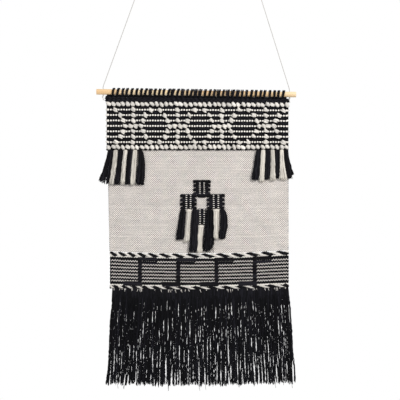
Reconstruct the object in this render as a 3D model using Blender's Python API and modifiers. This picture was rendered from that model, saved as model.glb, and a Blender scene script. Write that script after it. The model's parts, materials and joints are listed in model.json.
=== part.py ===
"""A black and cream woven tapestry, lashed to a wooden dowel that hangs from a cord.

Metres, +Z up. The front faces -Y and +X runs to the right, seen from the front. The origin is the hanging
point: the middle of the cord's level stretch between the two wall nails that hold it. Everything else is
placed from the dowel: X from its middle, and heights as distances below its axis.
"""

import math

import bmesh
import bpy
from mathutils import Vector

MM = 0.001

# Clearances
GAP = 0.3 * MM  # between pieces that touch
SWING_GAP = 0.5 * MM  # round a piece that swings

# Cloth: its width, the bands' heights and their thicknesses
CLOTH_WIDTH = 457.5 * MM
CLOTH_MIDDLE = 3.25 * MM  # to the right of the dowel's middle
FOOT_DRAW = 10.5 * MM  # how far the left side draws in towards the foot
HEADING_HEIGHT = 11.5 * MM
HEADING_INSETS = (-0.5 * MM, 4.5 * MM)  # from the cloth's left and right sides
HEADING_THICKNESS = 5 * MM
BAND_THICKNESS = 4 * MM
PANEL_HEIGHT = 258.4 * MM
PANEL_THICKNESS = 3 * MM
BORDER_HEIGHT = 13.2 * MM
BORDER_DEPTH = 6.4 * MM
STRIPES_HEIGHT = 64.4 * MM
STRIPES_THICKNESS = 3.5 * MM

# Dowel, its cord holes and the knots under it
DOWEL_OVERHANG = 21.25 * MM  # past the cloth at each end
DOWEL_RADIUS = 7 * MM
DOWEL_CENTRE = Vector((-5 * MM, 0, -254 * MM))
DOWEL_TILT = math.radians(0.8)  # the right end hangs lower
DOWEL_CHAMFER = 0.4 * MM
DOWEL_SIDES = 32
HOLE_INSET = 16.5 * MM
HOLE_CLEARANCE = 0.4 * MM
CORD_RADIUS = 1.0 * MM
KNOT_RADIUS = 3.0 * MM
KNOT_TAIL = 5 * MM

# Lashing of the cloth to the dowel: loops round it, on a cord that runs under it
LOOP_COUNT = 38
LOOP_WIDTH = 6.2 * MM
LOOP_THICKNESS = 1.6 * MM
LOOP_SIDES = 10
LOOP_LEAN = math.radians(10)
LOOP_INSETS = (18.5 * MM, 14 * MM)  # the first and last loop, from the cloth's sides
SPINE_HEIGHT = 3.2 * MM
SPINE_DEPTH = 8 * MM

# Rows of thick looped yarn along the upper band's two edges
BOUCLE_COUNT = 38
BOUCLE_HEIGHT = 11.4 * MM
BOUCLE_NECK = 8.4 * MM
BOUCLE_DEPTH = 8.6 * MM
BOUCLE_MARGIN = 0.3 * MM  # to the upper band's edges

# Pile rows: seven wefts whose tufts draw four stars. A star's tufts are counted in half steps from its
# centre.
TUFT_WIDTH = 11.4 * MM
TUFT_HEIGHT = 11 * MM
TUFT_DEPTH = 7 * MM
TUFT_SPACING = 1 * MM  # between two tufts side by side
WEFT_HEIGHT = 3.9 * MM
PILE_SPACING = 2.4 * MM  # between the tufts of two rows
PILE_ABOVE = 2.6 * MM  # between the tufts and the upper row of loops
PILE_BELOW = 1.4 * MM  # between the tufts and the lower row of loops
PILE_MARGIN = 1 * MM  # at the selvedges
STAR_COUNT = 4
STAR_MARGIN = 13.3 * MM  # from the outer stars to the cloth's sides, on average
STARS_SHIFT = 5.15 * MM  # to the right of the cloth's middle
STAR_ROWS = (
    (-7, 0, 7),
    (-5, 0, 5),
    (-4, 0, 4),
    (-3, -1, 1, 3),
    (-4, 0, 4),
    (-5, 0, 5),
    (-7, 0, 7),
)
ROW_SIDES = 6

# Ribs woven into the upper band, one between each two pile rows, and into the striped band
BAND_RIB = 0.9 * MM
STRIPE_COUNT = 8
STRIPE_RIB = 0.5 * MM

# Brocade blocks of the central motif: their sides, from the motif's middle, and their edges' heights above
# the panel's foot
MOTIF_MIDDLE = 11.15 * MM  # to the right of the cloth's middle
MOTIF_THICKNESS = 2 * MM
TOOTH_PITCH = 10.6 * MM
TOOTH_DEPTH = 4.5 * MM
CROWN_SIDES = (-22.8 * MM, 22.3 * MM)
LEFT_ARM_SIDES = (-55.6 * MM, -12.5 * MM)
RIGHT_ARM_SIDES = (11.3 * MM, 57.6 * MM)
STEM_SIDES = (-9 * MM, 9 * MM)
CROWN_RISE = 182.7 * MM
ARMS_RISE = 147.3 * MM
EYE_RISE = 138.5 * MM
ARMS_FOOT_RISE = 111 * MM
STEM_FOOT_RISE = 71.6 * MM

# Tassels
TASSEL_SIDES = 10
HEAD_RADIUS = 3.6 * MM
NECK_RADIUS = 3.0 * MM
SKIRT_RADIUS = 4.1 * MM
TASSEL_CLEARANCE = 0.4 * MM  # behind a tassel
SIDE_TASSELS = 7  # in each of two groups, at the left and at the right
SIDE_TASSEL_WIDTH = 10.8 * MM
GROUP_INSETS = (11.5 * MM, 6.7 * MM)  # of each group's outermost head, from the cloth's side
GROUP_SPACES = (1.5 * MM, 0.8 * MM)  # between two heads of each group
GROUP_SPREADS = (2.2 * MM, 2.9 * MM)  # how much further apart the ends are than the heads
GROUP_LEANS = (-13 * MM, -8.7 * MM)  # of each group's leftmost tassel, from head to end
GROUP_LENGTHS = (87.6 * MM, 75.6 * MM)
# Motif tassels, in millimetres: head and end from the motif's middle, foot above the panel's foot, width, and
# whether the yarn is black
MOTIF_TASSELS = (
    (-47.7, -55.9, 33.1, 14.0, True),
    (-32.8, -38.3, 28.9, 13.2, False),
    (-17.5, -23.0, 1.0, 14.4, True),
    (-2.2, -5.4, 0.6, 12.4, False),
    (19.0, 14.0, 4.0, 16.4, True),
    (35.9, 35.0, 35.4, 13.0, False),
    (50.6, 49.8, 34.6, 13.6, True),
)
STEM_TASSEL = 3  # the index of the one that hangs from the stem

# Lower band
TWIST_COUNT = 15
TWIST_NECK = 0.78  # of a twist's height
FRET_COUNT = 4
FRET_MARGIN = 42.8 * MM  # from the outer arms to the cloth's sides
FRET_BAR = 9.5 * MM
FRET_ARM = 37.5 * MM
FRET_ARM_HEIGHT = 10.6 * MM
FRET_THICKNESS = 1.2 * MM

# Fringe
FRINGE_COUNT = 5
FRINGE_INSETS = (6 * MM, 2 * MM)  # of its root, from the lower band's sides
FRINGE_FLARES = (15 * MM, 19 * MM)  # how far its ends reach out past its root
FRINGE_LENGTH = 237.8 * MM
FRINGE_THICKNESS = 8 * MM
FRINGE_EDGE = 3.4 * MM
FRINGE_TEETH = 4
FRINGE_TOOTH = 7 * MM

# The cord's route from hole to hole, (x, z) in millimetres from the hanging point
CORD_ROUTE = (
    (-238.38, -243.44),
    (-238.1, -238.8),
    (-236.7, -233.5),
    (-232.2, -221.0),
    (-214.0, -171.0),
    (-195.9, -121.0),
    (-177.8, -71.0),
    (-163.3, -31.0),
    (-156.0, -11.0),
    (-153.4, -3.95),
    (-151.2, -1.1),
    (-147.8, 0.0),
    (-100.0, 0.0),
    (0.0, 0.0),
    (100.0, 0.0),
    (147.6, 0.0),
    (151.15, -1.16),
    (153.3, -4.2),
    (155.4, -11.0),
    (161.7, -31.0),
    (174.2, -71.0),
    (189.9, -121.0),
    (205.6, -171.0),
    (221.2, -221.0),
    (226.2, -237.0),
    (228.1, -243.5),
    (228.57, -249.96),
)
CORD_STEP = 14 * MM

# Sizes that follow from those above
DOWEL_LENGTH = CLOTH_WIDTH + 2 * DOWEL_OVERHANG
HOLE_X = DOWEL_LENGTH / 2 - HOLE_INSET
HOLE_RADIUS = CORD_RADIUS + HOLE_CLEARANCE
CLOTH_LEFT = CLOTH_MIDDLE - CLOTH_WIDTH / 2
CLOTH_RIGHT = CLOTH_MIDDLE + CLOTH_WIDTH / 2
FIRST_LOOP = CLOTH_LEFT + LOOP_INSETS[0]
LAST_LOOP = CLOTH_RIGHT - LOOP_INSETS[1]
TUFT_STEP = (TUFT_WIDTH + TUFT_SPACING) / 2
STAR_WIDTH = 2 * STAR_ROWS[0][-1] * TUFT_STEP + TUFT_WIDTH
STAR_PITCH = (CLOTH_WIDTH - 2 * STAR_MARGIN - STAR_WIDTH) / (STAR_COUNT - 1)
FRET_WIDTH = FRET_BAR + 2 * FRET_ARM
FRET_PITCH = (CLOTH_WIDTH - 2 * FRET_MARGIN - FRET_WIDTH) / (FRET_COUNT - 1)

# Depths below the dowel's axis that follow from those above, from the top down
SPINE_TOP = DOWEL_RADIUS + SWING_GAP
SPINE_FOOT = SPINE_TOP + SPINE_HEIGHT
HEADING_FOOT = SPINE_FOOT + HEADING_HEIGHT
BAND_TOP = HEADING_FOOT + GAP
BOUCLE_UPPER = BAND_TOP + BOUCLE_MARGIN + BOUCLE_HEIGHT / 2
PILE_FIRST = BOUCLE_UPPER + BOUCLE_HEIGHT / 2 + PILE_ABOVE + TUFT_HEIGHT / 2
PILE_PITCH = TUFT_HEIGHT + PILE_SPACING
PILE_LAST = PILE_FIRST + (len(STAR_ROWS) - 1) * PILE_PITCH
BOUCLE_LOWER = PILE_LAST + TUFT_HEIGHT / 2 + PILE_BELOW + BOUCLE_HEIGHT / 2
BAND_FOOT = BOUCLE_LOWER + BOUCLE_HEIGHT / 2 + BOUCLE_MARGIN
PANEL_TOP = BAND_FOOT + GAP
PANEL_FOOT = PANEL_TOP + PANEL_HEIGHT
BORDER_TOP = PANEL_FOOT + GAP
STRIPES_TOP = BORDER_TOP + BORDER_HEIGHT + GAP
STRIPES_FOOT = STRIPES_TOP + STRIPES_HEIGHT
LOWER_BORDER_TOP = STRIPES_FOOT + GAP
FRINGE_ROOT = LOWER_BORDER_TOP + BORDER_HEIGHT + SWING_GAP
SIDE_TASSEL_TOP = BOUCLE_LOWER + BOUCLE_HEIGHT / 2 + SWING_GAP
ARMS_FOOT = PANEL_FOOT - ARMS_FOOT_RISE
STEM_FOOT = PANEL_FOOT - STEM_FOOT_RISE

# How far the tassels' middles lie in front of the cloth's. The side tassels' heads clear the upper band too.
MOTIF_TASSEL_MIDDLE = PANEL_THICKNESS / 2 + TASSEL_CLEARANCE + SKIRT_RADIUS
SIDE_TASSEL_MIDDLE = max(MOTIF_TASSEL_MIDDLE, BAND_THICKNESS / 2 + TASSEL_CLEARANCE + HEAD_RADIUS)


def clear_scene():
    for thing in list(bpy.data.objects):
        bpy.data.objects.remove(thing, do_unlink=True)


def new_collection(name):
    collection = bpy.data.collections.new(name)
    bpy.context.scene.collection.children.link(collection)
    return collection


def new_material(name, colour, roughness):
    material = bpy.data.materials.new(name)
    material.use_nodes = True
    shader = material.node_tree.nodes["Principled BSDF"]
    shader.inputs["Base Color"].default_value = (*colour, 1)
    shader.inputs["Roughness"].default_value = roughness
    return material


def new_pivot(name, tilt=0.0):
    """An empty at the dowel's middle, tilted with it or level."""
    pivot = bpy.data.objects.new(name, None)
    pivot.location = DOWEL_CENTRE
    pivot.rotation_euler = (0, tilt, 0)
    tapestry.objects.link(pivot)
    return pivot


def add_piece(name, data, material, parent):
    """A piece of the tapestry, placed from its parent."""
    piece = bpy.data.objects.new(name, data)
    data.materials.append(material)
    tapestry.objects.link(piece)
    piece.parent = parent
    return piece


def make_cutter(piece):
    """Keeps a shape out of the model and uses it only to cut or join another."""
    tapestry.objects.unlink(piece)
    cutters.objects.link(piece)
    piece.hide_render = True
    piece.display_type = "WIRE"


def combine(piece, operand, operation):
    boolean = piece.modifiers.new(operation.lower(), "BOOLEAN")
    boolean.operation = operation
    boolean.solver = "EXACT"
    boolean.object = operand


def add_rod(name, radius, length, sides, material, parent):
    """A solid cylinder along the piece's own Z axis."""
    mesh = bpy.data.meshes.new(name)
    shape = bmesh.new()
    bmesh.ops.create_cone(
        shape, cap_ends=True, segments=sides, radius1=radius, radius2=radius, depth=length
    )
    shape.to_mesh(mesh)
    shape.free()
    return add_piece(name, mesh, material, parent)


def add_turned(name, profile, sides, material, parent, ring=False):
    """A solid turned about the piece's own Z axis, from (radius, height) points that run down its outside."""
    mesh = bpy.data.meshes.new(name)
    points = [(radius, 0, z) for radius, z in profile]
    edges = [(i, i + 1) for i in range(len(points) - 1)]
    if ring:
        edges.append((len(points) - 1, 0))
    mesh.from_pydata(points, edges, [])
    piece = add_piece(name, mesh, material, parent)
    screw = piece.modifiers.new("turn", "SCREW")
    screw.steps = screw.render_steps = sides
    screw.use_merge_vertices = True
    screw.merge_threshold = 0.00001
    screw.use_smooth_shade = True
    return piece


def add_outline(name, outline, depth, material, parent, edge=0.0):
    """An outline in the piece's own XY plane, extruded along Z, its edges rounded by edge."""
    curve = bpy.data.curves.new(name, "CURVE")
    curve.dimensions = "2D"
    curve.fill_mode = "BOTH"
    curve.extrude = depth / 2 - edge
    if edge:
        curve.bevel_depth = edge
        curve.bevel_resolution = 1
        curve.offset = -edge
    spline = curve.splines.new("POLY")
    spline.points.add(len(outline) - 1)
    for point, (x, y) in zip(spline.points, outline):
        point.co = (x, y, 0, 1)
    spline.use_cyclic_u = True
    return add_piece(name, curve, material, parent)


def add_front_piece(name, outline, middle, thickness, material, parent, edge=0.0):
    """An outline seen from the front, (x, z) points, with its thickness centred on y = middle."""
    piece = add_outline(name, outline, thickness, material, parent, edge)
    piece.rotation_euler = (math.pi / 2, 0, 0)
    piece.location = (0, middle, 0)
    return piece


def add_side_piece(name, profile, left, right, material, parent):
    """An outline seen from the right, (y, z) points, extruded from left to right."""
    piece = add_outline(name, profile, right - left, material, parent)
    piece.rotation_euler = (math.pi / 2, 0, math.pi / 2)
    piece.location = ((left + right) / 2, 0, 0)
    return piece


def add_row(name, profile, middle, below, depth_share, sides, material, parent):
    """A turned row laid along X and flattened to depth_share of its height."""
    piece = add_turned(name, profile, sides, material, parent)
    piece.rotation_euler = (0, math.pi / 2, 0)
    piece.scale = (1, depth_share, 1)
    piece.location = (0, middle, -below)
    return piece


def bead_profile(left, right, count, bead, neck):
    """Equal beads from right to left, given the radii of a bead and of the necks between them."""
    pitch = (right - left) / count
    profile = [(0, right), (neck, right)]
    for i in range(count):
        profile.append((bead, right - (i + 0.5) * pitch))
        profile.append((neck, right - (i + 1) * pitch))
    return profile + [(0, left)]


def tuft_profile(left, right, centres):
    """A thin weft from right to left that swells into a tuft at each centre.

    Tufts that meet share a waist.
    """
    thin, thick, half = WEFT_HEIGHT / 2, TUFT_HEIGHT / 2, TUFT_WIDTH / 2
    centres = sorted(centres, reverse=True)
    profile = [(0, right), (thin, right), (thin, centres[0] + half), (thick, centres[0])]
    for centre, beyond in zip(centres, centres[1:]):
        reach = min(half, (centre - beyond) / 2)
        waist = thick + (thin - thick) * reach / half
        profile.append((waist, centre - reach))
        if reach < (centre - beyond) / 2:
            profile.append((waist, beyond + reach))
        profile.append((thick, beyond))
    return profile + [(thin, centres[-1] - half), (thin, left), (0, left)]


def ribbed_profile(top, foot, thickness, grooves, rib):
    """A cloth's cross-section, (y, z), flat behind, with ribs on the front between its grooves."""
    back, front = thickness / 2, -thickness / 2
    profile = [(back, -top), (back, -foot), (front, -foot)]
    for low, high in zip(reversed(grooves[:-1]), reversed(grooves[1:])):
        profile += [(front, -high), (front - rib, -(low + high) / 2)]
    return profile + [(front, -grooves[0]), (front, -top)]


def cloth_left(below):
    """The cloth's left side, that far below the dowel's axis."""
    return CLOTH_LEFT + FOOT_DRAW * (below - HEADING_FOOT) / (STRIPES_FOOT - HEADING_FOOT)


def toothed_side(x, inwards, top, foot):
    """One side of a brocade block, from top to foot, stepped inwards under each tooth."""
    count = max(1, round((foot - top) / TOOTH_PITCH))
    pitch = (foot - top) / count
    side = []
    for i in range(count):
        under = top + (i + 0.6) * pitch
        side += [(x, -(top + i * pitch)), (x, -under)]
        side += [(x + inwards, -under), (x + inwards, -(top + (i + 1) * pitch))]
    return side


def catmull_rom(corners, share):
    """The point that far from the second of four points to the third, on a centripetal curve."""
    times = [0.0]
    for start, end in zip(corners, corners[1:]):
        times.append(times[-1] + math.sqrt((end - start).length))
    now = times[1] + share * (times[2] - times[1])
    level = list(corners)
    for low, reach in ((0, 1), (0, 2), (1, 1)):
        level = [
            a.lerp(b, (now - times[low + i]) / (times[low + i + reach] - times[low + i]))
            for i, (a, b) in enumerate(zip(level, level[1:]))
        ]
    return level[0]


def smooth_route(route, step):
    """Points at most a step apart on a smooth curve through the route."""
    route = [2 * route[0] - route[1], *route, 2 * route[-1] - route[-2]]
    points = []
    for i in range(len(route) - 3):
        corners = route[i : i + 4]
        count = max(2, math.ceil((corners[2] - corners[1]).length / step))
        points += [catmull_rom(corners, k / count) for k in range(count)]
    return points + [route[-2]]


def build_cord():
    """The hanging cord, from the mouth of one hole to the mouth of the other."""
    route = [Vector((x * MM, 0, z * MM)) for x, z in CORD_ROUTE]
    points = smooth_route(route, CORD_STEP)
    curve = bpy.data.curves.new("hanging_cord", "CURVE")
    curve.dimensions = "3D"
    curve.bevel_depth = CORD_RADIUS
    curve.bevel_resolution = 2
    curve.use_fill_caps = True
    spline = curve.splines.new("POLY")
    spline.points.add(len(points) - 1)
    for point, place in zip(spline.points, points):
        point.co = (*place, 1)
    add_piece("hanging_cord", curve, cord_yarn, None)


def build_dowel(pivot):
    dowel = add_rod("dowel", DOWEL_RADIUS, DOWEL_LENGTH, DOWEL_SIDES, wood, pivot)
    dowel.rotation_euler = (0, math.pi / 2, 0)
    chamfer = dowel.modifiers.new("chamfer", "BEVEL")
    chamfer.width = DOWEL_CHAMFER
    chamfer.segments = 1
    chamfer.limit_method = "ANGLE"
    chamfer.angle_limit = math.radians(60)
    for side, x in (("left", -HOLE_X), ("right", HOLE_X)):
        hole = add_rod(f"cord_hole_{side}", HOLE_RADIUS, 4 * DOWEL_RADIUS, 12, wood, pivot)
        hole.location = (x, 0, 0)
        make_cutter(hole)
        combine(dowel, hole, "DIFFERENCE")
        build_knot(f"cord_knot_{side}", x, pivot)


def build_knot(name, x, pivot):
    """The cord's end: down through its hole, a stopper knot under the dowel, and a short tail."""
    centre = -(DOWEL_RADIUS + GAP + KNOT_RADIUS)
    profile = [(0, DOWEL_RADIUS), (CORD_RADIUS, DOWEL_RADIUS)]
    for angle in range(20, 161, 20):
        turn = math.radians(angle)
        profile.append((KNOT_RADIUS * math.sin(turn), centre + KNOT_RADIUS * math.cos(turn)))
    tail = centre - KNOT_RADIUS - KNOT_TAIL
    profile += [(CORD_RADIUS, tail), (0, tail)]
    knot = add_turned(name, profile, 10, cord_yarn, pivot)
    knot.location = (x, 0, 0)


def build_lashing(pivot):
    """The loops that hold the cloth to the dowel, joined by the cord that they pass under it."""
    pitch = (LAST_LOOP - FIRST_LOOP) / (LOOP_COUNT - 1)
    half = LOOP_WIDTH / 2
    room = DOWEL_RADIUS + SWING_GAP + half * math.sin(LOOP_LEAN)
    inner = room / (math.cos(math.pi / LOOP_SIDES) * math.cos(LOOP_LEAN))
    outer = inner + LOOP_THICKNESS
    section = [(inner, half), (outer, half), (outer, -half), (inner, -half)]
    loops = add_turned("lashing_loops", section, LOOP_SIDES, black_yarn, pivot, ring=True)
    loops.rotation_euler = (0, math.pi / 2 + LOOP_LEAN, 0)
    loops.location = (FIRST_LOOP, 0, 0)
    repeat = loops.modifiers.new("repeat", "ARRAY")
    repeat.count = LOOP_COUNT
    repeat.use_relative_offset = False
    repeat.use_constant_offset = True
    repeat.constant_offset_displace = (
        -math.sin(LOOP_LEAN) * pitch,
        0,
        math.cos(LOOP_LEAN) * pitch,
    )
    make_cutter(loops)
    left, right = FIRST_LOOP - half, LAST_LOOP + half
    front = SPINE_DEPTH / 2
    section = [(-front, -SPINE_TOP), (front, -SPINE_TOP), (front, -SPINE_FOOT), (-front, -SPINE_FOOT)]
    spine = add_side_piece("lashing_spine", section, left, right, black_yarn, pivot)
    lashing = as_mesh("dowel_lashing", spine)
    combine(lashing, loops, "UNION")


def as_mesh(name, curve_piece):
    """The mesh of a curve piece, its caps welded on, in the curve's place."""
    graph = bpy.context.evaluated_depsgraph_get()
    mesh = bpy.data.meshes.new_from_object(curve_piece.evaluated_get(graph))
    shape = bmesh.new()
    shape.from_mesh(mesh)
    bmesh.ops.remove_doubles(shape, verts=shape.verts, dist=0.00001)
    shape.to_mesh(mesh)
    shape.free()
    material = curve_piece.data.materials[0]
    mesh.materials.clear()
    place = curve_piece.matrix_world.copy()
    bpy.data.objects.remove(curve_piece, do_unlink=True)
    piece = add_piece(name, mesh, material, None)
    piece.matrix_world = place
    return piece


def build_heading(pivot):
    """The woven heading, whose top edge follows the dowel."""
    slope = math.tan(DOWEL_TILT)
    top = SPINE_FOOT / math.cos(DOWEL_TILT) + GAP
    left, right = CLOTH_LEFT + HEADING_INSETS[0], CLOTH_RIGHT - HEADING_INSETS[1]
    outline = [
        (left, -top - left * slope),
        (right, -top - right * slope),
        (right, -HEADING_FOOT),
        (left, -HEADING_FOOT),
    ]
    add_front_piece("heading_band", outline, 0, HEADING_THICKNESS, black_yarn, pivot)


def build_upper_band(pivot):
    grooves = [PILE_FIRST + (i - 1) * PILE_PITCH for i in range(len(STAR_ROWS) + 2)]
    grooves[0] = max(grooves[0], BAND_TOP)
    grooves[-1] = min(grooves[-1], BAND_FOOT)
    section = ribbed_profile(BAND_TOP, BAND_FOOT, BAND_THICKNESS, grooves, BAND_RIB)
    add_side_piece("upper_band", section, CLOTH_LEFT, CLOTH_RIGHT, black_yarn, pivot)
    beads = bead_profile(CLOTH_LEFT, CLOTH_RIGHT, BOUCLE_COUNT, BOUCLE_HEIGHT / 2, BOUCLE_NECK / 2)
    middle = -(BAND_THICKNESS / 2 + GAP + BOUCLE_DEPTH / 2)
    share = BOUCLE_DEPTH / BOUCLE_HEIGHT
    for name, below in (("boucle_row_upper", BOUCLE_UPPER), ("boucle_row_lower", BOUCLE_LOWER)):
        add_row(name, beads, middle, below, share, ROW_SIDES, cream_yarn, pivot)


def spread_evenly(middle, pitch, count):
    return [middle + (i - (count - 1) / 2) * pitch for i in range(count)]


def build_pile_rows(pivot):
    middle = -(BAND_THICKNESS / 2 + GAP + TUFT_DEPTH / 2)
    share = TUFT_DEPTH / TUFT_HEIGHT
    stars = spread_evenly(CLOTH_MIDDLE + STARS_SHIFT, STAR_PITCH, STAR_COUNT)
    for row, half_steps in enumerate(STAR_ROWS):
        centres = [star + count * TUFT_STEP for star in stars for count in half_steps]
        profile = tuft_profile(CLOTH_LEFT + PILE_MARGIN, CLOTH_RIGHT - PILE_MARGIN, centres)
        below = PILE_FIRST + row * PILE_PITCH
        add_row(f"pile_row_{row + 1}", profile, middle, below, share, ROW_SIDES, cream_yarn, pivot)


def build_panel(pivot):
    outline = [
        (cloth_left(PANEL_TOP), -PANEL_TOP),
        (CLOTH_RIGHT, -PANEL_TOP),
        (CLOTH_RIGHT, -PANEL_FOOT),
        (cloth_left(PANEL_FOOT), -PANEL_FOOT),
    ]
    add_front_piece("cream_panel", outline, 0, PANEL_THICKNESS, cream_cloth, pivot)


def toothed_block(sides, top, foot):
    left, right = sides
    right_side = toothed_side(right, -TOOTH_DEPTH, top, foot)
    return right_side + toothed_side(left, TOOTH_DEPTH, top, foot)[::-1]


def build_motif(pivot):
    """The crown, two arms and stem of the motif, round an eye of bare cream cloth."""
    crown_top, arms_top = PANEL_FOOT - CROWN_RISE, PANEL_FOOT - ARMS_RISE
    eye_top, crown_foot = PANEL_FOOT - EYE_RISE, arms_top - GAP
    neck_left, neck_right = LEFT_ARM_SIDES[1] + GAP, RIGHT_ARM_SIDES[0] - GAP
    crown = toothed_side(CROWN_SIDES[1], -TOOTH_DEPTH, crown_top, crown_foot)
    crown += [(neck_right, -crown_foot), (neck_right, -eye_top)]
    crown += [(neck_left, -eye_top), (neck_left, -crown_foot)]
    crown += toothed_side(CROWN_SIDES[0], TOOTH_DEPTH, crown_top, crown_foot)[::-1]
    left, right = STEM_SIDES
    stem = [(left, -ARMS_FOOT), (right, -ARMS_FOOT), (right, -STEM_FOOT), (left, -STEM_FOOT)]
    outlines = {
        "motif_crown": crown,
        "motif_left_arm": toothed_block(LEFT_ARM_SIDES, arms_top, ARMS_FOOT),
        "motif_right_arm": toothed_block(RIGHT_ARM_SIDES, arms_top, ARMS_FOOT),
        "motif_stem": stem,
    }
    middle = -(PANEL_THICKNESS / 2 + GAP + MOTIF_THICKNESS / 2)
    for name, outline in outlines.items():
        piece = add_front_piece(name, outline, middle, MOTIF_THICKNESS, black_yarn, pivot)
        piece.location.x = CLOTH_MIDDLE + MOTIF_MIDDLE


def build_tassel(name, head_x, end_x, top, foot, width, middle, material, pivot):
    """A tassel, flattened or widened, that swings about the middle of its round head."""
    drop = foot - top - HEAD_RADIUS
    length = math.hypot(end_x - head_x, drop)
    profile = [
        (0, HEAD_RADIUS),
        (HEAD_RADIUS * math.sin(math.radians(50)), HEAD_RADIUS * math.cos(math.radians(50))),
        (HEAD_RADIUS, 0),
        (NECK_RADIUS, -HEAD_RADIUS),
        ((NECK_RADIUS + SKIRT_RADIUS) / 2, -length * 0.3),
        (SKIRT_RADIUS, -length * 0.65),
        (SKIRT_RADIUS * 0.94, -length),
        (0, -length),
    ]
    tassel = add_turned(name, profile, TASSEL_SIDES, material, pivot)
    tassel.location = (head_x, -middle, -(top + HEAD_RADIUS))
    tassel.rotation_euler = (0, -math.atan2(end_x - head_x, drop), 0)
    tassel.scale = (width / (2 * SKIRT_RADIUS), 1, 1)


def yarn_of(black):
    return black_yarn if black else cream_yarn


def build_side_tassels(group, side, pivot):
    """One group of tassels, black and cream by turns, numbered from left to right."""
    pitch = SIDE_TASSEL_WIDTH + GROUP_SPACES[group]
    leftmost = CLOTH_LEFT + GROUP_INSETS[0]
    if side == "right":
        leftmost = CLOTH_RIGHT - GROUP_INSETS[1] - (SIDE_TASSELS - 1) * pitch
    foot = SIDE_TASSEL_TOP + GROUP_LENGTHS[group]
    for i in range(SIDE_TASSELS):
        head_x = leftmost + i * pitch
        end_x = head_x + GROUP_LEANS[group] + i * GROUP_SPREADS[group]
        sizes = (head_x, end_x, SIDE_TASSEL_TOP, foot, SIDE_TASSEL_WIDTH, SIDE_TASSEL_MIDDLE)
        build_tassel(f"{side}_tassel_{i + 1}", *sizes, yarn_of(i % 2 == 0), pivot)


def build_motif_tassels(pivot):
    x = CLOTH_MIDDLE + MOTIF_MIDDLE
    for i, (head_x, end_x, rise, width, black) in enumerate(MOTIF_TASSELS):
        top = (STEM_FOOT if i == STEM_TASSEL else ARMS_FOOT) + SWING_GAP
        foot = PANEL_FOOT - rise * MM
        sizes = (x + head_x * MM, x + end_x * MM, top, foot, width * MM, MOTIF_TASSEL_MIDDLE)
        build_tassel(f"motif_tassel_{i + 1}", *sizes, yarn_of(black), pivot)


def build_lower_band(pivot):
    left, share = cloth_left(STRIPES_TOP), BORDER_DEPTH / BORDER_HEIGHT
    radius = BORDER_HEIGHT / 2
    twists = bead_profile(left, CLOTH_RIGHT, TWIST_COUNT, radius, radius * TWIST_NECK)
    for name, top in (("twined_border_upper", BORDER_TOP), ("twined_border_lower", LOWER_BORDER_TOP)):
        add_row(name, twists, 0, top + radius, share, 8, cream_yarn, pivot)
    pitch = STRIPES_HEIGHT / STRIPE_COUNT
    grooves = [STRIPES_TOP + i * pitch for i in range(STRIPE_COUNT + 1)]
    section = ribbed_profile(STRIPES_TOP, STRIPES_FOOT, STRIPES_THICKNESS, grooves, STRIPE_RIB)
    add_side_piece("striped_band", section, left, CLOTH_RIGHT, cream_cloth, pivot)
    for i, x in enumerate(spread_evenly(CLOTH_MIDDLE, FRET_PITCH, FRET_COUNT)):
        build_fret(f"fret_{i + 1}", x, pivot)


def build_fret(name, x, pivot):
    """A bar with an arm to the right at its top and one to the left at its foot."""
    left, right = x - FRET_BAR / 2, x + FRET_BAR / 2
    top, foot = STRIPES_TOP + GAP, STRIPES_FOOT - GAP
    outline = [
        (left, -top),
        (right + FRET_ARM, -top),
        (right + FRET_ARM, -(top + FRET_ARM_HEIGHT)),
        (right, -(top + FRET_ARM_HEIGHT)),
        (right, -foot),
        (left - FRET_ARM, -foot),
        (left - FRET_ARM, -(foot - FRET_ARM_HEIGHT)),
        (left, -(foot - FRET_ARM_HEIGHT)),
    ]
    middle = -(STRIPES_THICKNESS / 2 + STRIPE_RIB + GAP + FRET_THICKNESS / 2)
    add_front_piece(name, outline, middle, FRET_THICKNESS, black_yarn, pivot)


def build_fringe(pivot):
    """Sections of fringe side by side, rounded at the root, that widen towards their jagged ends."""
    root_left = cloth_left(STRIPES_FOOT) + FRINGE_INSETS[0]
    root_width = CLOTH_RIGHT - FRINGE_INSETS[1] - root_left
    end_left = root_left - FRINGE_FLARES[0]
    end_width = root_width + sum(FRINGE_FLARES)
    hinge = FRINGE_THICKNESS / 2
    for i in range(FRINGE_COUNT):
        low, high = i / FRINGE_COUNT, (i + 1) / FRINGE_COUNT
        gap = SWING_GAP / 2
        outline = [(root_left + low * root_width + gap, hinge), (root_left + high * root_width - gap, hinge)]
        start, end = end_left + high * end_width - gap, end_left + low * end_width + gap
        for k in range(2 * FRINGE_TEETH + 1):
            x = start + (end - start) * k / (2 * FRINGE_TEETH)
            outline.append((x, hinge - FRINGE_LENGTH + (FRINGE_TOOTH if k % 2 else 0)))
        name = f"fringe_{i + 1}"
        piece = add_front_piece(name, outline, 0, FRINGE_THICKNESS, black_yarn, pivot, FRINGE_EDGE)
        piece.location.z = -(FRINGE_ROOT + hinge)


clear_scene()
tapestry = new_collection("tapestry_wall_hanging")
cutters = new_collection("cutters")

wood = new_material("pine_dowel", (0.72, 0.52, 0.30), 0.55)
cord_yarn = new_material("pale_cord", (0.75, 0.73, 0.69), 0.8)
black_yarn = new_material("black_yarn", (0.02, 0.02, 0.025), 0.9)
cream_yarn = new_material("cream_yarn", (0.78, 0.73, 0.64), 0.9)
cream_cloth = new_material("cream_cloth", (0.62, 0.57, 0.50), 0.95)

dowel_pivot = new_pivot("dowel_axis", DOWEL_TILT)
cloth_pivot = new_pivot("cloth_pivot")
bpy.context.view_layer.update()

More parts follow.
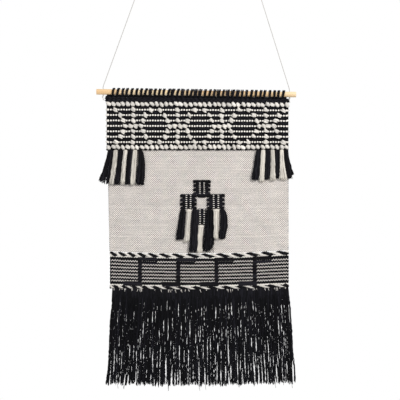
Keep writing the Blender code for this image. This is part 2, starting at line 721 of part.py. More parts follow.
build_cord()
build_dowel(dowel_pivot)
build_lashing(dowel_pivot)
build_heading(cloth_pivot)
build_upper_band(cloth_pivot)
build_pile_rows(cloth_pivot)
build_panel(cloth_pivot)
build_motif(cloth_pivot)
for group, side in enumerate(("left", "right")):
    build_side_tassels(group, side, cloth_pivot)
build_motif_tassels(cloth_pivot)
build_lower_band(cloth_pivot)
build_fringe(cloth_pivot)
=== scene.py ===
"""The look of a black and cream woven wall hanging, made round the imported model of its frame.

Everything woven, knotted or hanging is made of tubes of yarn. They are laid out in millimetres from the
middle of the dowel: x to the right, y to the back and z up, so a depth is a distance below the dowel's axis.
"""

import json
from math import ceil, copysign, cos, floor, pi, radians, sin, sqrt, tan

import bpy
import numpy as np
from numpy.random import default_rng
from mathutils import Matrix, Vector


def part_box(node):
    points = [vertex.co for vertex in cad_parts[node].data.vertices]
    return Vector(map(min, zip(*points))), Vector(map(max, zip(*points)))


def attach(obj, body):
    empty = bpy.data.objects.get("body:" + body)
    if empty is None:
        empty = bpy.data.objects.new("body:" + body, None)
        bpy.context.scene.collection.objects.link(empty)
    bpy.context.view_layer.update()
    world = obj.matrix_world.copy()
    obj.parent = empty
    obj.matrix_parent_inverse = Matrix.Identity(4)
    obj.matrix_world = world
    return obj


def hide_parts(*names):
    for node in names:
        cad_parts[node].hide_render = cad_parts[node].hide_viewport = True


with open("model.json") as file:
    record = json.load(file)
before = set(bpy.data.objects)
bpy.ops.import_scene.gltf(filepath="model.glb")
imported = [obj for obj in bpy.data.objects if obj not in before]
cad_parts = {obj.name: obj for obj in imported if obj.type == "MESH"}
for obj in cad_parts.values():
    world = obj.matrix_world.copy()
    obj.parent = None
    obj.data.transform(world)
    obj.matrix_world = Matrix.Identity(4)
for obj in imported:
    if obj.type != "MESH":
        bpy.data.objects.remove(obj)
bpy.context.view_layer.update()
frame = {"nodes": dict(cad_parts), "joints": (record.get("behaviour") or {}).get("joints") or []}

MM = 0.001
AXIS = sum(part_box("dowel"), Vector()) / 2  # the dowel's middle


def span(node):
    """A CAD node's left, right, top and foot, with its depths counted downwards."""
    low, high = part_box(node)
    left, right = (low.x - AXIS.x) / MM, (high.x - AXIS.x) / MM
    return left, right, (AXIS.z - high.z) / MM, (AXIS.z - low.z) / MM


# The cloth's outline
CLOTH_LEFT, CLOTH_RIGHT, BAND_TOP, BAND_FOOT = span("upper_band")
CLOTH_MIDDLE = (CLOTH_LEFT + CLOTH_RIGHT) / 2
CLOTH_HALF = (CLOTH_RIGHT - CLOTH_LEFT) / 2
CLOTH_RUN = 450  # about its width
STRIPES_LEFT, STRIPES_RIGHT, STRIPES_TOP, STRIPES_FOOT = span("striped_band")
DOWEL_TILT = radians(0.8)
DOWEL_RADIUS = 7.0

# How far the cloth hangs from its true grid, at each depth: the mean shift, the tilt and the bow
SAG_DEPTHS = (0, 30, 135, 407, 485, 760)
SAG_SHIFTS = (0, 0, 0, -0.6, -3.1, -3.1)
SAG_TILTS = (0, -1.3, 0.3, 1.25, 1.2, 1.2)
SAG_BOWS = (0, 0, 0, 7.0, 5.0, 5.0)
RIPPLE = 1.1  # how far the cloth waves out of its plane

WEFT_PITCH = 2.65
RIB_PITCH = 5.3
HAIR = 0.4  # the radius of a loose fibre


# ---- Camera, light and floor ----

VIEW_CENTRE = Vector((0.0044, 0, -0.5216))
VIEW_WIDTH = 1.002
CAMERA_DISTANCE = 3.0
SENSOR = 36
FLOOR_BELOW = 1.32
FLOOR_RADIUS = 1.25


def put(name, data):
    """An object for the data, linked to the scene."""
    thing = bpy.data.objects.new(name, data)
    bpy.context.scene.collection.objects.link(thing)
    return thing


def make_camera():
    data = bpy.data.cameras.new("camera")
    data.sensor_width = SENSOR
    data.lens = SENSOR * CAMERA_DISTANCE / VIEW_WIDTH
    camera = put("camera", data)
    camera.location = VIEW_CENTRE - Vector((0, CAMERA_DISTANCE, 0))
    camera.rotation_euler = (pi / 2, 0, 0)
    bpy.context.scene.camera = camera


def make_area_light(name, place, size, power):
    data = bpy.data.lights.new(name, "AREA")
    data.shape = "DISK"
    data.size = size
    data.energy = power
    light = put(name, data)
    light.location = place
    light.rotation_euler = (VIEW_CENTRE - Vector(place)).to_track_quat("-Z", "Y").to_euler()


def make_studio():
    """A white world, a large soft key light from the upper right, and a round pale floor."""
    scene = bpy.context.scene
    scene.view_settings.view_transform = "Standard"
    world = bpy.data.worlds.new("studio")
    scene.world = world
    world.use_nodes = True
    nodes, links = world.node_tree.nodes, world.node_tree.links
    fill = nodes["Background"]
    fill.inputs["Color"].default_value = (0.94, 0.96, 1.0, 1)
    fill.inputs["Strength"].default_value = 0.6
    backdrop = nodes.new("ShaderNodeBackground")
    backdrop.inputs["Color"].default_value = (1, 1, 1, 1)
    rays = nodes.new("ShaderNodeLightPath")
    mix = nodes.new("ShaderNodeMixShader")
    links.new(rays.outputs["Is Camera Ray"], mix.inputs["Fac"])
    links.new(fill.outputs[0], mix.inputs[1])
    links.new(backdrop.outputs[0], mix.inputs[2])
    links.new(mix.outputs[0], nodes["World Output"].inputs["Surface"])
    make_area_light("key", (1.5, -2.1, 0.9), 0.5, 78)
    make_area_light("fill", (-1.8, -2.4, -0.6), 1.6, 14)
    make_area_light("back", (-0.9, 2.4, 0.3), 1.6, 30)
    bpy.ops.mesh.primitive_circle_add(vertices=96, radius=FLOOR_RADIUS, fill_type="NGON")
    disc = bpy.context.object
    disc.name = "floor"
    disc.location = (VIEW_CENTRE.x, 0, -FLOOR_BELOW)
    material = bpy.data.materials.new("floor")
    material.use_nodes = True
    shader = material.node_tree.nodes["Principled BSDF"]
    shader.inputs["Base Color"].default_value = (0.86, 0.86, 0.85, 1)
    shader.inputs["Roughness"].default_value = 0.7
    disc.data.materials.append(material)


# ---- Materials ----


class Nodes:
    """A material and short ways to add nodes to it."""

    def __init__(self, name, roughness, sheen=0.0, sheen_tint=(1, 1, 1)):
        self.material = bpy.data.materials.new(name)
        self.material.use_nodes = True
        self.tree = self.material.node_tree
        self.shader = self.tree.nodes["Principled BSDF"]
        self.shader.inputs["Roughness"].default_value = roughness
        self.shader.inputs["Sheen Weight"].default_value = sheen
        self.shader.inputs["Sheen Tint"].default_value = (*sheen_tint, 1)
        self.shader.inputs["Specular IOR Level"].default_value = 0.15

    def new(self, kind, values=(), **settings):
        node = self.tree.nodes.new("ShaderNode" + kind)
        for key, value in settings.items():
            setattr(node, key, value)
        for key, value in dict(values).items():
            node.inputs[key].default_value = value
        return node

    def link(self, out, into):
        self.tree.links.new(out, into)

    def noise(self, scale, detail, stretch=(1, 1, 1)):
        """Noise over the object's own space, with scale in waves per metre."""
        place = self.new("TexCoord")
        mapping = self.new("Mapping", {"Scale": stretch})
        self.link(place.outputs["Object"], mapping.inputs["Vector"])
        noise = self.new("TexNoise", {"Scale": scale, "Detail": detail})
        self.link(mapping.outputs[0], noise.inputs["Vector"])
        return noise.outputs["Fac"]

    def ramp(self, factor, stops):
        ramp = self.new("ValToRGB")
        elements = ramp.color_ramp.elements
        while len(elements) < len(stops):
            elements.new(0.5)
        for element, (place, colour) in zip(elements, stops):
            element.position = place
            element.color = (*colour, 1)
        self.link(factor, ramp.inputs["Fac"])
        return ramp.outputs["Color"]

    def multiply(self, a, b):
        mix = self.new("Mix", {0: 1.0}, data_type="RGBA", blend_type="MULTIPLY")
        self.link(a, mix.inputs[6])
        self.link(b, mix.inputs[7])
        return mix.outputs[2]

    def colour(self, out):
        self.link(out, self.shader.inputs["Base Color"])

    def bump(self, height, distance, strength):
        bump = self.new("Bump", {"Strength": strength, "Distance": distance})
        self.link(height, bump.inputs["Height"])
        self.link(bump.outputs[0], self.shader.inputs["Normal"])


def scaled(colour, factor):
    return tuple(min(1.0, c * factor) for c in colour)


def wool(name, colour, shade, light, sheen, fleck=0.82):
    """Matt yarn: its tint drifts from strand to strand and along each, under fine fibres.

    shade and light are how far its darkest and lightest strands are from its colour.
    """
    m = Nodes(name, 0.92, sheen, scaled(colour, 1.6))
    strand = m.new("Attribute", attribute_name="tint").outputs["Fac"]
    by_strand = m.ramp(strand, ((0.0, scaled(colour, shade)), (0.55, colour), (1.0, scaled(colour, light))))
    patches = m.ramp(m.noise(55, 2), ((0.3, (0.93, 0.93, 0.94)), (0.7, (1.0, 0.99, 0.98))))
    fibres = m.noise(900, 5)
    flecks = m.ramp(fibres, ((0.32, (fleck, fleck, fleck)), (0.6, (1, 1, 1))))
    m.colour(m.multiply(m.multiply(by_strand, patches), flecks))
    m.bump(fibres, 0.0006, 0.8)
    return m.material


def pine():
    """Bare softwood: straight grain along the rod, with a painted highlight between its left end and its
    middle and painted shade round its middle.
    """
    m = Nodes("pine", 0.5)
    grain = m.noise(95, 6, (0.045, 1, 1))
    fine = m.noise(800, 4, (0.03, 1, 1))
    colour = m.ramp(grain, ((0.3, (0.72, 0.55, 0.35)), (0.48, (0.90, 0.76, 0.54)), (0.7, (0.97, 0.88, 0.70))))
    streak = m.ramp(fine, ((0.35, (0.84, 0.78, 0.70)), (0.6, (1, 1, 1))))
    place = m.new("TexCoord")
    split = m.new("SeparateXYZ")
    m.link(place.outputs["Object"], split.inputs[0])
    across = m.new("MapRange", {"From Min": -0.26, "From Max": 0.25})
    m.link(split.outputs["X"], across.inputs["Value"])
    # painted light along the rod: a near-white painted highlight left of the middle, and brown painted shade
    # round the middle under the lashing
    drift = m.ramp(across.outputs[0], (
        (0.0, (0.84, 0.70, 0.56)), (0.1, (0.86, 0.74, 0.6)), (0.16, (1.0, 1.0, 1.0)),
        (0.36, (0.98, 0.94, 0.84)), (0.55, (0.66, 0.52, 0.40)), (0.8, (0.80, 0.70, 0.58)),
        (1.0, (0.84, 0.80, 0.74))))
    m.colour(m.multiply(m.multiply(colour, streak), drift))
    m.bump(fine, 0.0002, 0.35)
    return m.material


# ---- Yarn ----


def settle(points):
    """Moves points from the cloth's true grid to where the cloth really hangs."""
    x, y, z = points[..., 0], points[..., 1], points[..., 2]
    share = (x - CLOTH_MIDDLE) / CLOTH_HALF
    drop = [np.interp(-z, SAG_DEPTHS, values) for values in (SAG_SHIFTS, SAG_TILTS, SAG_BOWS)]
    wave = np.sin(x / 31 + z / 140) * np.sin(z / 62 + 0.6) * np.clip(-z / 120, 0, 1)
    moved = points.copy()
    moved[..., 1] = y + RIPPLE * wave
    moved[..., 2] = z + drop[0] + drop[1] * share + drop[2] * share**2
    return moved


def wander(rng, count, points, length, wavelength, reach):
    """For each of count strands, a smooth random offset along it: (count, points)."""
    along = np.linspace(0, length, points)
    total = np.zeros((count, points))
    for octave in (1.0, 0.47):
        phase = rng.uniform(0, 2 * pi, (count, 1))
        wave = wavelength * octave * rng.uniform(0.8, 1.25, (count, 1))
        total += octave * np.sin(2 * pi * along / wave + phase)
    return reach * total / 1.47


def joined(x, y, z):
    """One path, (1, points, 3), or one for each row of x, (count, points, 3)."""
    points = np.stack(np.broadcast_arrays(x, y, z), axis=-1)
    return points if points.ndim == 3 else points[None]


def tapered(x, left, right, least, reach):
    """A strand's share of its full thickness, which falls to least over a reach at both ends."""
    return np.minimum(1, least + np.minimum(x - left, right - x) / reach)


def drift(rng, x, length, wavelength, reach):
    """A smooth random offset at each x along one strand."""
    return wander(rng, 1, len(x), length, wavelength, reach)[0]


class Yarn:
    """Tubes of yarn, gathered into one mesh."""

    def __init__(self):
        self.points, self.quads, self.tints, self.count = [], [], [], 0

    def add(self, paths, wide, deep=None, sides=6, plies=0, lay=9.0, relief=0.3, across=(0, -1, 0), tint=0.5):
        """Tubes along paths (count, points, 3), with radii wide across the cloth and deep out of it.

        plies twists that many strands round each other, one turn in each lay, with grooves as deep as relief.
        tint, from 0 to 1, is how light each strand is, or each of its points.
        """
        paths = np.asarray(paths, float)
        count, length = paths.shape[:2]
        wide = np.broadcast_to(np.asarray(wide, float), (count, length))
        deep = wide if deep is None else np.broadcast_to(np.asarray(deep, float), (count, length))
        forward = np.gradient(paths, axis=1)
        forward /= np.linalg.norm(forward, axis=2, keepdims=True) + 1e-12
        out = np.asarray(across, float) - forward * (forward @ np.asarray(across, float))[..., None]
        out /= np.linalg.norm(out, axis=2, keepdims=True) + 1e-12
        side = np.cross(forward, out)
        angles = np.arange(sides) * 2 * pi / sides
        swell = np.ones((count, length, sides))
        if plies:
            steps = np.linalg.norm(np.diff(paths, axis=1), axis=2)
            run = np.concatenate([np.zeros((count, 1)), np.cumsum(steps, axis=1)], axis=1)
            turn = angles + 2 * pi * run[..., None] / lay
            swell = 1.08 - relief * np.abs(np.cos(turn * plies / 2))
        ring = (np.cos(angles) * swell * wide[..., None])[..., None] * side[:, :, None]
        ring += (np.sin(angles) * swell * deep[..., None])[..., None] * out[:, :, None]
        self.points.append((paths[:, :, None] + ring).reshape(-1, 3))
        index = self.count + np.arange(count * length * sides).reshape(count, length, sides)
        turned = np.roll(index, -1, axis=2)
        walls = np.stack([index[:, :-1], index[:, 1:], turned[:, 1:], turned[:, :-1]], axis=-1)
        self.quads.append(walls.reshape(-1, 4))
        for j in range(1, sides - 1, 2):
            self.quads.append(index[:, 0][:, [0, j, j + 1, j + 2]])
            self.quads.append(index[:, -1][:, [j + 2, j + 1, j, 0]])
        tint = np.asarray(tint, float)
        tint = np.broadcast_to(tint.reshape(count, -1) if tint.ndim else tint, (count, length))
        self.tints.append(np.repeat(tint.reshape(-1), sides))
        self.count += count * length * sides

    def build(self, name, look, replaces=(), body="cloth", settled=True):
        """The mesh, in place, riding on its body. look is its material and a slot name, which is not used."""
        points = np.concatenate(self.points)
        if settled:
            points = settle(points)
        quads = np.concatenate(self.quads).astype(np.int32)
        mesh = bpy.data.meshes.new(name)
        mesh.vertices.add(len(points))
        mesh.vertices.foreach_set("co", (points * MM + np.array(AXIS)).astype(np.float32).ravel())
        mesh.loops.add(quads.size)
        mesh.loops.foreach_set("vertex_index", quads.ravel())
        mesh.polygons.add(len(quads))
        mesh.polygons.foreach_set("loop_start", np.arange(0, quads.size, 4, dtype=np.int32))
        mesh.polygons.foreach_set("use_smooth", np.ones(len(quads), bool))
        tint = mesh.attributes.new("tint", "FLOAT", "POINT")
        tint.data.foreach_set("value", np.concatenate(self.tints).astype(np.float32))
        mesh.update(calc_edges=True)
        return place_piece(name, mesh, look, body, replaces)


def place_piece(name, mesh, look, body, replaces=()):
    material, slot = look
    mesh.materials.append(material)
    piece = put(name, mesh)
    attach(piece, body)
    if replaces:
        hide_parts(*replaces)
    return piece


def cloth_left(depth):
    share = (depth - BAND_TOP) / (STRIPES_FOOT - BAND_TOP)
    return CLOTH_LEFT + share * (STRIPES_LEFT - CLOTH_LEFT)


def ground_sheet(name, outline, thickness, look):
    """The thin sheet of warp inside a stretch of cloth. outline has two rows of (left, right, depth)."""
    (left, right, top), (left_foot, right_foot, foot) = outline
    columns, rows = 48, max(2, int((foot - top) / 12))
    u, v = np.meshgrid(np.linspace(0, 1, columns), np.linspace(0, 1, rows))
    x = (1 - v) * (left + u * (right - left)) + v * (left_foot + u * (right_foot - left_foot))
    z = -(top + v * (foot - top))
    points = settle(joined(x, 0.0, z).reshape(-1, 3))
    index = np.arange(rows * columns).reshape(rows, columns)
    quads = np.stack([index[:-1, :-1], index[1:, :-1], index[1:, 1:], index[:-1, 1:]], axis=-1).reshape(-1, 4)
    mesh = bpy.data.meshes.new(name)
    mesh.from_pydata((points * MM + np.array(AXIS)).tolist(), [], quads.tolist())
    mesh.shade_smooth()
    piece = place_piece(name, mesh, look, "cloth")
    solid = piece.modifiers.new("thickness", "SOLIDIFY")
    solid.thickness = thickness * MM
    solid.offset = 0


def lie(x, depth):
    """The slow waviness that neighbouring wefts share."""
    return 0.42 * np.sin(x / 29 + 0.05 * depth) + 0.22 * np.sin(x / 11.7 - 0.08 * depth)


def woven_rows(yarn, rng, rows, swing, front, wide, deep):
    """Plain weave: wefts that pass by turns before and behind the warp, each opposite to its neighbour.

    rows holds each weft's (left, right, depth). swing is how far a weft moves through the cloth, and front is
    how far its middle lies before the warp's.
    """
    for number, (left, right, depth) in enumerate(rows):
        left += rng.uniform(-0.5, 0.5)
        right += rng.uniform(-0.5, 0.5)
        step = np.arange(ceil(2 * left / WEFT_PITCH), floor(2 * right / WEFT_PITCH) + 1)
        x = step * WEFT_PITCH / 2
        y = -front - swing * np.sin(pi * (step / 2 + number))
        z = -depth + lie(x, depth) + rng.uniform(-0.08, 0.08)
        ends = tapered(x, x[0], x[-1], 0.45, 2.5)
        tint = np.clip(rng.normal(0.5, 0.14) + drift(rng, x, right - left, 60, 0.2), 0, 1)
        yarn.add(joined(x, y, z), wide * ends, deep * ends, tint=tint)


PLUMP_POINTS = 17


def plump(rng, middle, reach, swell, angle, bulge):
    """A short thick loop of plied yarn that rises from the cloth and dips back into it.

    reach is half its length, swell its two middle radii, angle its lean and bulge its height.
    """
    share = np.linspace(-1, 1, PLUMP_POINTS)
    bow = 1 - share**2
    reach, angle = reach * rng.uniform(0.88, 1.12), angle + rng.uniform(-0.36, 0.36)
    bend = rng.uniform(-0.9, 0.9) * bow
    x = middle[0] + reach * share * cos(angle) - bend * sin(angle)
    y = middle[1] - bulge * rng.uniform(0.85, 1.15) * np.sqrt(bow)
    z = middle[2] + reach * share * sin(angle) + bend * cos(angle)
    body = (0.34 + 0.66 * bow**0.45) * (1 + rng.uniform(-0.04, 0.04, PLUMP_POINTS))
    return joined(x, y, z)[0], swell[0] * rng.uniform(0.9, 1.12) * body, swell[1] * body


def add_plumps(yarn, rng, middles, reach, swell, angle, bulge, relief=0.28):
    made = [plump(rng, middle, reach, swell, angle, bulge) for middle in middles]
    paths, wide, deep = (np.array([one[i] for one in made]) for i in range(3))
    tint = np.clip(rng.normal(0.5, 0.2, len(made)), 0, 1)
    yarn.add(paths, wide, deep, sides=12, plies=3, lay=15, relief=relief, tint=tint)


def add_tufts(yarn, rng, middles, reach, swell, angle, bulge):
    """Tufts of three strands each: loops side by side that cross a little."""
    across, up = -sin(angle), cos(angle)
    for offset, height in ((-0.44, 0.75), (0.42, 0.8), (0.0, 1.05)):
        spots = []
        for x, y, z in middles:
            aside = offset * swell[0] + rng.uniform(-0.5, 0.5)
            along = rng.uniform(-1.2, 1.2)
            spots.append((x + aside * across + along * up, y, z + aside * up - along * across))
        strand = (0.5 * swell[0], 0.58 * swell[1])
        add_plumps(yarn, rng, spots, reach * 0.96, strand, angle, bulge * height + 1.0, relief=0.32)


# ---- Cord and knots ----

# The cord's route from hole to hole, in metres
CORD_ROUTE = (
    (-0.23838, -0.24344), (-0.2381, -0.2388), (-0.2367, -0.2335), (-0.2322, -0.221),
    (-0.214, -0.171), (-0.1959, -0.121), (-0.1778, -0.071), (-0.1633, -0.031),
    (-0.156, -0.011), (-0.1534, -0.00395), (-0.1512, -0.0011), (-0.1478, 0.0),
    (-0.1, 0.0), (0.0, 0.0), (0.1, 0.0), (0.1476, 0.0),
    (0.15115, -0.00116), (0.1533, -0.0042), (0.1554, -0.011), (0.1617, -0.031),
    (0.1742, -0.071), (0.1899, -0.121), (0.2056, -0.171), (0.2212, -0.221),
    (0.2262, -0.237), (0.2281, -0.2435), (0.22857, -0.24996),
)
CORD_RADIUS = 1.0


def smooth_path(route, step):
    """Points a step apart on a centripetal Catmull-Rom curve through the route."""
    route = np.asarray(route, float)
    route = np.vstack([2 * route[0] - route[1], route, 2 * route[-1] - route[-2]])
    points = []
    for a, b, c, d in zip(route, route[1:], route[2:], route[3:]):
        t = np.cumsum([0.0] + [sqrt(np.linalg.norm(q - p)) for p, q in ((a, b), (b, c), (c, d))])
        count = max(2, ceil(np.linalg.norm(c - b) / step))
        now = (t[1] + (t[2] - t[1]) * np.arange(count) / count)[:, None]
        ab = a + (b - a) * (now - t[0]) / (t[1] - t[0])
        bc = b + (c - b) * (now - t[1]) / (t[2] - t[1])
        cd = c + (d - c) * (now - t[2]) / (t[3] - t[2])
        abc = ab + (bc - ab) * (now - t[0]) / (t[2] - t[0])
        bcd = bc + (cd - bc) * (now - t[1]) / (t[3] - t[1])
        points.append(abc + (bcd - abc) * (now - t[1]) / (t[2] - t[1]))
    return np.vstack(points + [route[-2][None]])


def lay_cord(name, path, pale, body):
    yarn = Yarn()
    yarn.add(path[None], CORD_RADIUS, sides=8, plies=3, lay=5)
    return yarn.build(f"{name}_yarn", pale, (name,), body, settled=False)


def make_cord(pale):
    route = [((x - AXIS.x) / MM, 0, (z - AXIS.z) / MM) for x, z in CORD_ROUTE]
    path = smooth_path(route, 0.8)
    cord = lay_cord("hanging_cord", path, pale, "cord")
    knots = [make_knot(side, end, pale) for side, end in (("left", path[0]), ("right", path[-1]))]


def make_knot(side, mouth, pale):
    """An overhand knot under the dowel, with the cord above it in its hole and a short tail below."""
    lean = np.array((sin(DOWEL_TILT), 0, cos(DOWEL_TILT)))
    centre = mouth - lean * (2 * DOWEL_RADIUS + 4.2)
    turn = np.linspace(0, 2 * pi, 40)
    knot = joined(
        1.5 * np.sin(turn) + 0.7 * np.sin(2 * turn),
        1.5 * np.cos(turn) * np.cos(turn / 2),
        1.9 * np.cos(turn / 2) + 0.8 * np.sin(2 * turn),
    )[0]
    above = mouth - lean * 0.3
    head = np.linspace(above, centre + knot[0] + (0, 0, 0.4), 10)
    tail = centre + knot[-1] + np.array([(0, 0, -0.8), (0.3, -0.2, -3), (0.9, -0.3, -6), (1.1, -0.2, -8.5)])
    path = smooth_path(np.vstack([head, centre + knot[1:-1:3], tail]), 0.5)
    return lay_cord(f"cord_knot_{side}", path, pale, "dowel")


# ---- Lashing and heading ----

LOOP_COUNT = 38
LOOP_YARN = 1.8
LOOP_CROWD = (7, 28)  # the loops between these may have a third turn
LOOP_LEAN = 1.7  # how far a loop's top lies to the right of its middle
HEADING_TOP = 10.5
HEADING_ROWS = 6


def along_dowel(x):
    """The height of the dowel's axis, that far to the right of its middle."""
    return -x * tan(DOWEL_TILT)


def make_lashing(black):
    """Pairs of plied yarn whipped round the dowel, and three strands of heading cord under it."""
    rng = default_rng(11)
    left, right = CLOTH_LEFT + 18.5, CLOTH_RIGHT - 14
    turn = np.linspace(radians(-38), radians(398), 34)
    under = 1 + 0.12 * np.clip(np.cos(turn), 0, 1)
    yarn = Yarn()
    paths, wide = [], []
    for number, middle in enumerate(np.linspace(left, right, LOOP_COUNT)):
        middle += rng.uniform(-1.0, 1.0)
        lean = LOOP_LEAN * rng.uniform(0.5, 1.7)
        crowded = LOOP_CROWD[0] < number < LOOP_CROWD[1] and rng.uniform() < 0.45
        for offset in (-1.7, 1.65) + ((rng.choice((-5.2, 5.0)),) if crowded else ()):
            around = DOWEL_RADIUS + 0.35 + LOOP_YARN + rng.uniform(0, 0.4)
            x = middle + offset * (0.75 + 0.3 * np.sin(turn / 2) ** 2) - lean * np.cos(turn)
            z = -around * np.cos(turn) * under + along_dowel(x)
            paths.append(joined(x, -around * np.sin(turn), z)[0])
            thin = 0.7 if abs(offset) > 2 else 1
            radius = LOOP_YARN * rng.uniform(0.85, 1.1) * thin
            wide.append(radius * (1 + rng.uniform(-0.05, 0.05, len(turn))))
    tint = rng.uniform(0.2, 0.9, len(paths))
    yarn.add(paths, wide, sides=8, plies=2, lay=9, across=(1, 0, 0), tint=tint)
    for depth, middle in ((8.6, -2.3), (8.7, 1.9), (10.6, 0.0)):
        x = np.linspace(CLOTH_LEFT + 1.5, CLOTH_RIGHT - 6, 260)
        y = middle + drift(rng, x, CLOTH_RUN, 40, 0.4)
        z = along_dowel(x) - depth + drift(rng, x, CLOTH_RUN, 26, 0.35)
        yarn.add(joined(x, y, z), 1.75, sides=8, plies=2, lay=10)
    yarn.build("dowel_lashing_yarn", black, ("dowel_lashing",), settled=False)


def make_heading(black):
    """The black heading, whose wefts fan out to follow the dowel."""
    rng = default_rng(12)
    left, right, _, foot = span("heading_band")
    yarn = Yarn()
    for row in range(HEADING_ROWS):
        x = np.arange(left - rng.uniform(0, 2.8), right + 5 + rng.uniform(0, 2.0), 1.5)
        top = along_dowel(x) - HEADING_TOP
        z = top + (row + 0.4) / HEADING_ROWS * (-foot - top) + drift(rng, x, CLOTH_RUN, 50, 0.25)
        height = (top[0] + foot) / HEADING_ROWS + (top - top[0]) / HEADING_ROWS
        y = -0.8 * np.sin(pi * x / 3 + pi * row)
        tint = np.clip(rng.uniform(0.3, 0.9) + drift(rng, x, CLOTH_RUN, 12, 0.5), 0, 1)
        yarn.add(joined(x, y, z), 0.62 * height, 1.5, tint=tint)
    piece = yarn.build("heading_weft", black, ("heading_band",))
    outline = ((left + 1, right - 1, HEADING_TOP), (left + 1, right - 1, foot))
    ground_sheet("heading_ground", outline, 0.5, black)


# ---- Upper band ----

PILE_FIRST = 42.3
PILE_PITCH = 13.4
DOT_PITCH = 6.56
BOUCLE_COUNT = 38  # the fat loops in a row
BOUCLE_DEPTHS = {"upper": 28.5, "lower": 135.3}
STAR_STEP = 6.2
# Where each row's tufts lie, in steps from its star's middle
STAR_ROWS = ((-7, 0, 7), (-5, 0, 5), (-4, 0, 4), (-3, -1, 1, 3), (-4, 0, 4), (-5, 0, 5), (-7, 0, 7))
STAR_COUNT = 4
STAR_PITCH = 110.9
STARS_SHIFT = 5.15


def make_upper_band(black, cream):
    rng = default_rng(21)
    rib = Yarn()
    depths = [BAND_TOP + 0.6, BAND_TOP + 3.6]
    for gap in range(len(STAR_ROWS) + 1):
        top = PILE_FIRST + (gap - 1) * PILE_PITCH + 3.4
        depths += [top + weft * 3.25 for weft in range(3) if BAND_TOP - 0.5 < top + weft * 3.25 < BAND_FOOT]
    rows = [(CLOTH_LEFT + 0.6, CLOTH_RIGHT - 0.6, depth) for depth in depths]
    woven_rows(rib, rng, rows, 0.75, 0.0, 1.95, 1.35)
    pieces = [rib.build("upper_band_ribs", black, ("upper_band",))]
    pieces.append(make_band_wraps(rng, black))
    for name, depth in BOUCLE_DEPTHS.items():
        pieces.append(make_boucle_row(name, depth, rng, cream))
    pieces.append(make_band_edge(rng, black))
    for row, half_steps in enumerate(STAR_ROWS):
        pieces.append(make_pile_row(row, half_steps, rng, cream))
    outline = ((CLOTH_LEFT + 1, CLOTH_RIGHT - 1, BAND_TOP), (CLOTH_LEFT + 1, CLOTH_RIGHT - 1, BAND_FOOT))
    ground_sheet("upper_band_ground", outline, 0.8, black)


def make_band_wraps(rng, black):
    """The black warps that cross the cream wefts and leave dots of cream between them."""
    yarn = Yarn()
    share = np.linspace(-1, 1, 7)
    paths = []
    for row in range(len(STAR_ROWS)):
        depth = PILE_FIRST + row * PILE_PITCH
        for x in np.arange(CLOTH_LEFT + 8.5, CLOTH_RIGHT - 6.5, DOT_PITCH):
            x += rng.uniform(-0.3, 0.3)
            for face in (-1, 1):
                y = face * (0.8 + 1.6 * (1 - share**2) ** 0.7)
                paths.append(joined(x + 0.35 * share, y, -depth + 3.4 * share)[0])
    paths = np.array(paths)
    wide = 1.75 * rng.uniform(0.88, 1.12, (len(paths), 1)) * np.array([0.8, 1, 1, 1, 1, 1, 0.8])
    yarn.add(paths, wide, 0.85, tint=rng.uniform(0.2, 0.8, len(paths)))
    return yarn.build("upper_band_wraps", black)


def make_band_edge(rng, black):
    """The serrated black edge under the lower row of loops."""
    yarn = Yarn()
    start = np.arange(CLOTH_LEFT + 1, CLOTH_RIGHT - 1, 3.1)[:, None]
    share = np.linspace(0, 1, 6)
    y = -1.2 - 1.6 * np.sin(pi * share)
    z = -(BAND_FOOT - 1.6) - rng.uniform(2.8, 4.6, start.shape) * share
    wide = 1.35 * np.array([1, 1.1, 1.1, 1, 0.8, 0.4])
    yarn.add(joined(start + 1.6 * share, y, z), wide, tint=rng.uniform(0.2, 0.8, len(start)))
    return yarn.build("upper_band_edge", black)


def make_boucle_row(name, depth, rng, cream):
    """Fat loops of cream yarn side by side on both faces, with small ones in front, round a thin core."""
    yarn = Yarn()
    pitch = (CLOTH_RIGHT - CLOTH_LEFT) / BOUCLE_COUNT
    middles = []
    for i in range(BOUCLE_COUNT):
        x = CLOTH_LEFT + (i + 0.5) * pitch + rng.uniform(-1.0, 1.0)
        middles.append((x, -2.6, -depth + rng.uniform(-0.8, 0.8)))
    add_plumps(yarn, rng, middles, 5.4, (4.9, 3.9), radians(-50), 2.8, relief=0.34)
    spots = [(x + rng.uniform(-3, 3), -4.4, z + rng.uniform(-2.4, 2.4)) for x, _, z in middles]
    add_plumps(yarn, rng, spots, 4.2, (2.1, 1.9), radians(-40), 2.4)
    backs = [(x + 1, 2.0, z) for x, _, z in middles]
    add_plumps(yarn, rng, backs, 5.2, (4.2, 2.2), radians(-50), -1.0)
    steps = np.linspace(CLOTH_LEFT + 0.5, CLOTH_RIGHT - 0.5, 200)
    core = joined(steps, -1.2, -depth + drift(rng, steps, CLOTH_RUN, 30, 0.5))
    yarn.add(core, 1.5, sides=8, plies=2, lay=14)
    return yarn.build(f"boucle_row_{name}_yarn", cream, (f"boucle_row_{name}",))


